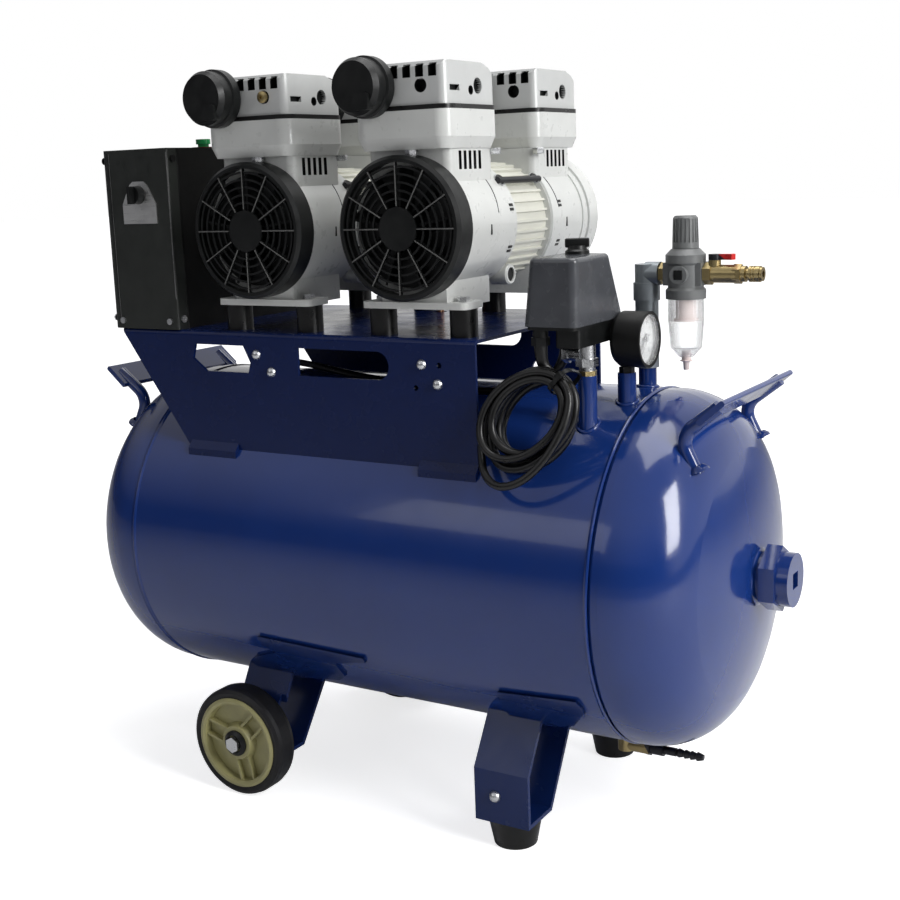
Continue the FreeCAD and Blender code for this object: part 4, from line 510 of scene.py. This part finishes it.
def curve_piece(name, points, diameter, finish, widths=(), closed=False):
    """Cord or wire along control points, thinner by the widths if given, or a closed weld bead"""
    curve = bpy.data.curves.new(name, "CURVE")
    curve.dimensions = "3D"
    curve.bevel_depth = diameter / 2
    curve.bevel_resolution = BEAD_ROUNDNESS if closed else CORD_ROUNDNESS
    curve.use_fill_caps = not closed
    spline = curve.splines.new("NURBS")
    spline.points.add(len(points) - 1)
    for control, point in zip(spline.points, points):
        control.co = (*point, 1.0)
    for control, width in zip(spline.points, widths):
        control.radius = width
    spline.order_u = SPLINE_ORDER
    if closed:
        spline.use_cyclic_u = True
    else:
        spline.use_endpoint_u = True
        spline.resolution_u = CORD_STEPS
    piece = add_object(name, curve)
    settle(piece, finish)
    return piece


def hank_point(angle):
    """Point of the wound cord; turns hand over to one another a little earlier each time round"""
    passed = (angle - FIRST_SWITCH) / SWITCH_EVERY
    passed = max(min(passed, len(TURNS) - 2 + NEARLY_ONE), -NEARLY_ONE)
    turn = math.floor(passed) + 1
    share = min((passed - math.floor(passed)) * SWITCH_EVERY / SWITCH_ANGLE, 1.0) if turn > 0 else 1.0
    share = share * share * (3 - 2 * share)
    before, after = TURNS[max(turn - 1, 0)], TURNS[turn]
    right, down, long, short, tilt, off = (a + (b - a) * share for a, b in zip(before, after))
    tilt, around = math.radians(tilt), math.radians(angle)
    along = Vector((-math.sin(tilt), math.cos(tilt)))
    aside = Vector((math.cos(tilt), math.sin(tilt)))
    flat = Vector((right, down)) - along * long * math.cos(around) + aside * short * math.sin(around)
    return HANK_ORIGIN + Vector((flat.x, 0, 0)) + HANK_DOWN * flat.y + HANK_OUT * off


def eased(points):
    """Takes the sharp bends out of a route without shrinking its turns; both ends stay"""
    points = [Vector(point) for point in points]
    for share in (EASE, RESTORE) * EASE_PASSES:
        middles = [(a + c) / 2 for a, c in zip(points[1:-2], points[3:])]
        moved = [b + (m - b) * share for b, m in zip(points[2:-1], middles)]
        points = points[:2] + moved + points[-1:]
    return [tuple(point) for point in points]


def make_cords():
    hank = [tuple(hank_point(angle)) for angle in range(TURN_START, TURN_END + 1, TURN_STEP)]
    lead = curve_piece("power_cord_lead", eased(CORD_START + hank + CORD_END), CORD_DIAMETER, "rubber_black")
    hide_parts("power_cord", "power_cord_hank")
    cable = curve_piece("switch_cable_run", CABLE_ROUTE, CORD_DIAMETER, "rubber_black")
    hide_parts("switch_cable")


def lathe(name, profile, place, axis, finish, closed=False, sides=40):
    """Piece turned from its profile about an axis through a place"""
    along = Vector(axis).normalized()
    across = along.orthogonal().normalized()
    other = along.cross(across)
    work = bmesh.new()
    rings = []
    for radius, shift in profile:
        centre = Vector(place) + along * shift
        if radius == 0:
            rings.append([work.verts.new(centre)])
            continue
        rings.append([work.verts.new(centre + (across * math.cos(t) + other * math.sin(t)) * radius)
                      for t in turns(sides)])
    for lower, upper in zip(rings, rings[1:] + (rings[:1] if closed else [])):
        for k in range(sides):
            corners = [lower[k % len(lower)], lower[(k + 1) % len(lower)],
                       upper[(k + 1) % len(upper)], upper[k % len(upper)]]
            corners = list(dict.fromkeys(corners))
            if len(corners) > 2:
                work.faces.new(corners)
    finish_mesh(name, work, finish)


def slab(name, low, high, bevel, finish, turn=None):
    """Block between two corners with rounded edges, turned about its own middle if asked"""
    work = bmesh.new()
    bmesh.ops.create_cube(work, size=1.0)
    low, high = Vector(low), Vector(high)
    middle, size = (low + high) / 2, high - low
    for vert in work.verts:
        vert.co = Vector((vert.co.x * size.x, vert.co.y * size.y, vert.co.z * size.z))
    bmesh.ops.bevel(work, geom=list(work.edges), offset=bevel, segments=3, profile=0.6, affect="EDGES")
    matrix = Matrix.Translation(middle) @ (turn or Matrix.Identity(4))
    bmesh.ops.transform(work, matrix=matrix, verts=list(work.verts))
    finish_mesh(name, work, finish)


def block(name, middle, half, bevel, finish, turn=None):
    """Slab given by its middle and half sizes"""
    half = Vector(half)
    slab(name, middle - half, middle + half, bevel, finish, turn)


def finish_mesh(name, work, finish):
    bmesh.ops.recalc_face_normals(work, faces=list(work.faces))
    mesh = bpy.data.meshes.new(name)
    work.to_mesh(mesh)
    work.free()
    shade_smooth(mesh, PIECE_SHARP)
    settle(add_object(name, mesh), finish)


def bolt_head(name, place):
    """Hexagon head that hangs below its place"""
    radius = BOLT_FLATS / 2 / math.cos(math.pi / 6)
    profile = [(0, 0), (radius, 0), (radius, BOLT_HEIGHT * BOLT_CHAMFER_START),
               (radius * BOLT_CHAMFER, BOLT_HEIGHT), (0, BOLT_HEIGHT)]
    lathe(name, profile, place, (0, 0, -1), "zinc", sides=6)


def tank_top(x, y):
    """Point a little proud of the tank's top"""
    return (x, y, TANK_AXIS_Z + math.sqrt((TANK_RADIUS + PORT_WELD_PROUD) ** 2 - y * y))


def make_tank_details():
    for side, end in SIDES:
        lathe("seam_bead_" + end, SEAM, (side * SEAM_X, 0, TANK_AXIS_Z), (side, 0, 0), "tank_blue",
              sides=SEAM_SIDES)
        lathe("socket_weld_" + end, SOCKET_WELD, (side * SOCKET_X, 0, TANK_AXIS_Z), (side, 0, 0),
              "tank_blue", closed=True, sides=SOCKET_SIDES)
    for name, (x, y) in PORTS.items():
        points = [tank_top(x + PORT_WELD_RADIUS * math.cos(t), y + PORT_WELD_RADIUS * math.sin(t))
                  for t in turns(PORT_WELD_POINTS)]
        curve_piece(name + "_port_weld", points, PORT_WELD_DIAMETER, "tank_blue", closed=True)
    lean_in, lean_up = HANDLE_LEAN
    for side, end in SIDES:
        for y, row in ((-HANDLE_Y, "_front"), (HANDLE_Y, "_rear")):
            lathe("handle_weld_" + end + row, HANDLE_WELD, (side * HANDLE_X, y, HANDLE_Z),
                  (-side * lean_in, 0, lean_up), "tank_blue", closed=True, sides=HANDLE_SIDES)


def make_box_edge_light():
    (_, front, bottom), (right, _, top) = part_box("control_box_lid")
    # Name, left and right, how far it stands proud and sunk, gaps below and above, bevel, finish
    # Painted light: a grey strip on the lid's right edge is a painted highlight; along the fold, a black
    # line is painted shade and a light line beside it is a painted highlight
    lines = [
        ("lid_right_edge_highlight", right - 0.0010, right - 0.0002, 0.0002, 0.0008, 0.030, 0.004, 0.0002, "edge"),
        ("lid_fold_shade", BOX_LEFT + 0.0115, BOX_LEFT + 0.0125, 0.0004, 0.0005, 0.004, 0.003, 0.0002,
         "black_plastic"),
        ("lid_fold_highlight", BOX_LEFT + 0.0126, BOX_LEFT + 0.0130, 0.0003, 0.0005, 0.004, 0.003, 0.0001,
         "edge"),
    ]
    for name, start, stop, proud, sunk, below, above, bevel, finish in lines:
        slab(name, (start, front - proud, bottom + below), (stop, front + sunk, top - above), bevel,
             finish)


def on_case(x, angle, y, radius):
    """Point on a crankcase's barrel and the direction out of it"""
    turn = math.radians(angle)
    out = Vector((math.cos(turn), 0, math.sin(turn)))
    return Vector((x, y, SHAFT_Z)) + out * radius, out


def case_ring(name, profile, x, y):
    """Ring about a pump's shaft"""
    lathe(name, profile, (x, y, SHAFT_Z), (0, 1, 0), "pump_grey", closed=True, sides=CASE_SIDES)


def make_end_details(name, x, sign):
    """Bolts, plug, clips, slit and seam at one end of a pump, 1 for its front and -1 for its rear"""
    for label, (right, front) in BOLTS.items():
        bolt_head(name + label, (x + right, front * sign, BOLT_Z))
    place, out = on_case(x, CAP_ANGLE, CAP_Y * sign, CAP_SEAT)
    lathe(name + "_cap_ring", CAP_RING, place, out, "zinc", closed=True)
    lathe(name + "_cap", CAP, place, out, "black_plastic")
    for k, angle in enumerate(CLIP_ANGLES):
        place, out = on_case(x, angle, FRONT_CLIP_Y if sign > 0 else REAR_CLIP_Y, CLIP_SEAT)
        block(name + "_clip_" + str(k), place, CLIP_HALF, CLIP_BEVEL, "black_plastic",
              turn=Matrix.Rotation(-math.radians(angle), 4, "Y"))
    place, out = on_case(x, SLIT_ANGLE, SLIT_Y * sign, SLIT_SEAT)
    block(name + "_slit", place, SLIT_HALF, SLIT_BEVEL, "black_plastic")
    seam = [tuple(on_case(x, angle, (CASE_SEAM_Y + angle * CASE_SEAM_SLANT) * sign, CASE_SEAM_SEAT)[0])
            for angle in CASE_SEAM_ANGLES]
    curve_piece(name + "_case_seam", seam, CASE_SEAM_DIAMETER, "dark steel")


def make_pump_details():
    for label, x in PUMPS.items():
        case_ring(label + "_case_rim", CASE_RIM, x, CASE_RIM_Y)
        case_ring(label + "_bell_flange", BELL_FLANGE, x, BELL_FLANGE_Y)
        boss = (x + BOSS_X, BOSS_Y, BOSS_Z)
        lathe(label + "_port_boss", BOSS, boss, (1, 0, 0), "pump_grey", closed=True)
        lathe(label + "_port", BOSS_HOLE, boss, (1, 0, 0), "black_plastic")
        case_ring(label + "_bell_band", BELL_BAND, x, BELL_BAND_Y)
        make_end_details(label + "_front", x, 1)
        make_end_details(label + "_rear", x, -1)
        # Painted highlight: a light strip along each spoke of the front grille
        for k, angle in enumerate(turns(SPOKES)):
            out = Vector((math.cos(angle), 0, math.sin(angle)))
            middle = Vector((x, SPOKE_Y, SHAFT_Z)) + out * SPOKE_MIDDLE
            block(label + "_front_spoke_" + str(k), middle, SPOKE_HALF, SPOKE_BEVEL, "spoke",
                  Matrix.Rotation(-angle, 4, "Y"))


def make_fitting_details():
    lathe("switch_stub_ring", STUB_RING, (*PORTS["switch"], STUB_RING_Z), (0, 0, 1), "brass",
          closed=True, sides=6)
    lathe("switch_knob_base", KNOB, KNOB_PLACE, (0, 0, 1), "black_plastic")
    slab("switch_knob_grip", GRIP_LOW, GRIP_HIGH, GRIP_BEVEL, "black_plastic",
         turn=Matrix.Rotation(math.radians(GRIP_TURN), 4, "Z"))
    lathe("head_port_plug", HEAD_PLUG, HEAD_PORT, (0, -1, 0), "brass")
    dial_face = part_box("gauge_dial")[1][0]
    for k in range(TICKS):
        angle = math.radians(FIRST_TICK - TICK_STEP * k)
        middle = Vector((dial_face + TICK_PROUD, DIAL_Y + TICK_RADIUS * math.cos(angle),
                         DIAL_Z + TICK_RADIUS * math.sin(angle)))
        half = (TICK_PROUD, LONG_TICK if k % LONG_EVERY == 0 else SHORT_TICK, TICK_WIDTH)
        block("dial_tick_" + str(k), middle, half, TICK_BEVEL, "black_plastic",
              Matrix.Rotation(angle, 4, "X"))
    # Painted shade: a black square standing just proud of the regulator's body stands for the shaded inside
    # of its port
    left, right = REGULATOR_PORT_X
    bottom, top = REGULATOR_PORT_Z
    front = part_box("regulator_body")[0][1]
    slab("regulator_port_shade", (left, front - REGULATOR_PORT_PROUD, bottom),
         (right, front + REGULATOR_PORT_DEPTH, top), REGULATOR_PORT_BEVEL, "black_plastic")
    for name, points in RELIEFS.items():
        curve_piece(name, points, RELIEF_DIAMETER, "rubber_black", widths=RELIEF_WIDTHS)


def make_hank_tie():
    """Strap drawn round the turns where they gather under the pressure switch"""
    right, down, off = STRAP_PLACE
    half_across, half_out = STRAP_HALF
    strand = Vector((STRAP_LEVEL, 0, 0)) + HANK_DOWN * STRAP_STEEP
    across = Vector((-STRAP_STEEP, 0, 0)) + HANK_DOWN * STRAP_LEVEL
    centre = HANK_ORIGIN + Vector((right, 0, 0)) + HANK_DOWN * down + HANK_OUT * off
    section = ((-STRAP_HALF_WIDTH, 0), (STRAP_HALF_WIDTH, 0),
               (STRAP_HALF_WIDTH, STRAP_THICKNESS), (-STRAP_HALF_WIDTH, STRAP_THICKNESS))
    work = bmesh.new()
    rings = []
    for t in turns(STRAP_POINTS):
        c, s = (math.copysign(abs(part) ** STRAP_CORNERS, part) for part in (math.cos(t), math.sin(t)))
        rings.append([work.verts.new(centre + across * c * (half_across + thick)
                                     + HANK_OUT * s * (half_out + thick) + strand * wide)
                      for wide, thick in section])
    for before, after in zip(rings, rings[1:] + rings[:1]):
        for k in range(4):
            work.faces.new([before[k], before[(k + 1) % 4], after[(k + 1) % 4], after[k]])
    finish_mesh("hank_tie", work, "black_plastic")
    head = centre + HANK_OUT * STRAP_HEAD_OUT - across * STRAP_HEAD_ACROSS
    block("hank_tie_head", head, STRAP_HEAD_HALF, STRAP_HEAD_BEVEL, "black_plastic",
          turn=Matrix.Rotation(math.radians(STRAP_HEAD_TURN), 4, "Y"))


def make_camera():
    ahead = math.cos(PITCH)
    forward = Vector((-math.sin(AZIMUTH) * ahead, math.cos(AZIMUTH) * ahead, -math.sin(PITCH)))
    level = Vector((math.cos(AZIMUTH), math.sin(AZIMUTH), 0.0))
    upright = level.cross(forward)
    right = math.cos(ROLL) * level + math.sin(ROLL) * upright
    up = -math.sin(ROLL) * level + math.cos(ROLL) * upright
    data = bpy.data.cameras.new("camera")
    data.sensor_width = SENSOR
    data.lens = FOCAL_PIXELS / IMAGE_SIZE * SENSOR
    data.shift_x = 0.5 - PRINCIPAL[0] / IMAGE_SIZE
    data.shift_y = PRINCIPAL[1] / IMAGE_SIZE - 0.5
    camera = add_object("camera", data)
    turn = Matrix((right, up, -forward)).transposed()
    camera.matrix_world = Matrix.Translation(CAMERA) @ turn.to_4x4()
    bpy.context.scene.camera = camera


def add_lamp(name, place, target, size, power):
    data = bpy.data.lights.new(name, "AREA")
    data.shape = "RECTANGLE"
    data.size, data.size_y = size
    data.energy = power
    lamp = add_object(name, data)
    lamp.location = place
    aim = Vector(target) - Vector(place)
    lamp.rotation_euler = aim.to_track_quat("-Z", "Y").to_euler()


def make_world():
    """White to the camera; a soft even fill; and a dim side in front that glossy paint can show"""
    world = bpy.data.worlds.new("studio")
    bpy.context.scene.world = world
    world.use_nodes = True
    tree = world.node_tree
    split = add_node(tree, "ShaderNodeSeparateXYZ")
    feed(tree, split.inputs[0], add_node(tree, "ShaderNodeTexCoord").outputs["Generated"])
    height = add_node(tree, "ShaderNodeValToRGB")
    stops = height.color_ramp.elements
    stops[0].position, stops[0].color = LOW_STOP, LOW_SHADE
    stops[1].position, stops[1].color = HIGH_STOP, HIGH_SHADE
    stops.new(MIDDLE_STOP).color = MIDDLE_SHADE
    feed(tree, height.inputs["Fac"], map_range(tree, split.outputs["Z"], -1.0, 1.0))
    direction = calculate(tree, "MULTIPLY_ADD", split.outputs["X"], SIDEWAYS, split.outputs["Y"])
    behind = map_range(tree, direction, WHITE_FROM, WHITE_TO, kind="SMOOTHSTEP")
    shown = mix_colours(tree, behind, height.outputs["Color"], WHITE)
    glossy = add_node(tree, "ShaderNodeLightPath").outputs["Is Glossy Ray"]
    lit = mix_colours(tree, glossy, FILL, shown)
    seen = mix_colours(tree, sees_backdrop(tree), lit, WHITE)
    feed(tree, tree.nodes["Background"].inputs["Color"], seen)


def make_floor():
    """Pale floor, white to the camera where it runs out behind the part"""
    bpy.ops.mesh.primitive_plane_add(size=FLOOR_SIZE, location=(0, 0, -FLOOR_DROP))
    floor = bpy.context.object
    floor.name = "floor"
    pale = Surface("floor paint", (0.86, 0.86, 0.86), 0.7)
    pale.tint(pale.noise(scale=3.0), (0.84, 0.84, 0.85), amount=0.4)
    apart = add_node(pale.tree, "ShaderNodeVectorMath", operation="LENGTH")
    feed(pale.tree, apart.inputs[0], pale.coords)
    ramp = pale.between(apart.outputs["Value"], FLOOR_GLOW, FLOOR_GLOW_FAR, GLOW_START, GLOW_STOP)
    pale.feed("Emission Strength", calculate(pale.tree, "MULTIPLY", sees_backdrop(pale.tree), ramp))
    pale.feed("Emission Color", WHITE)
    floor.data.materials.append(pale.material)


def make_studio():
    for lamp in LAMPS:
        add_lamp(*lamp)
    make_world()
    make_floor()
    bpy.context.scene.view_settings.view_transform = "Standard"


make_camera()
make_cords()
make_hank_tie()
make_studio()
dress_nodes()
make_tank_details()
make_box_edge_light()
make_pump_details()
make_fitting_details()
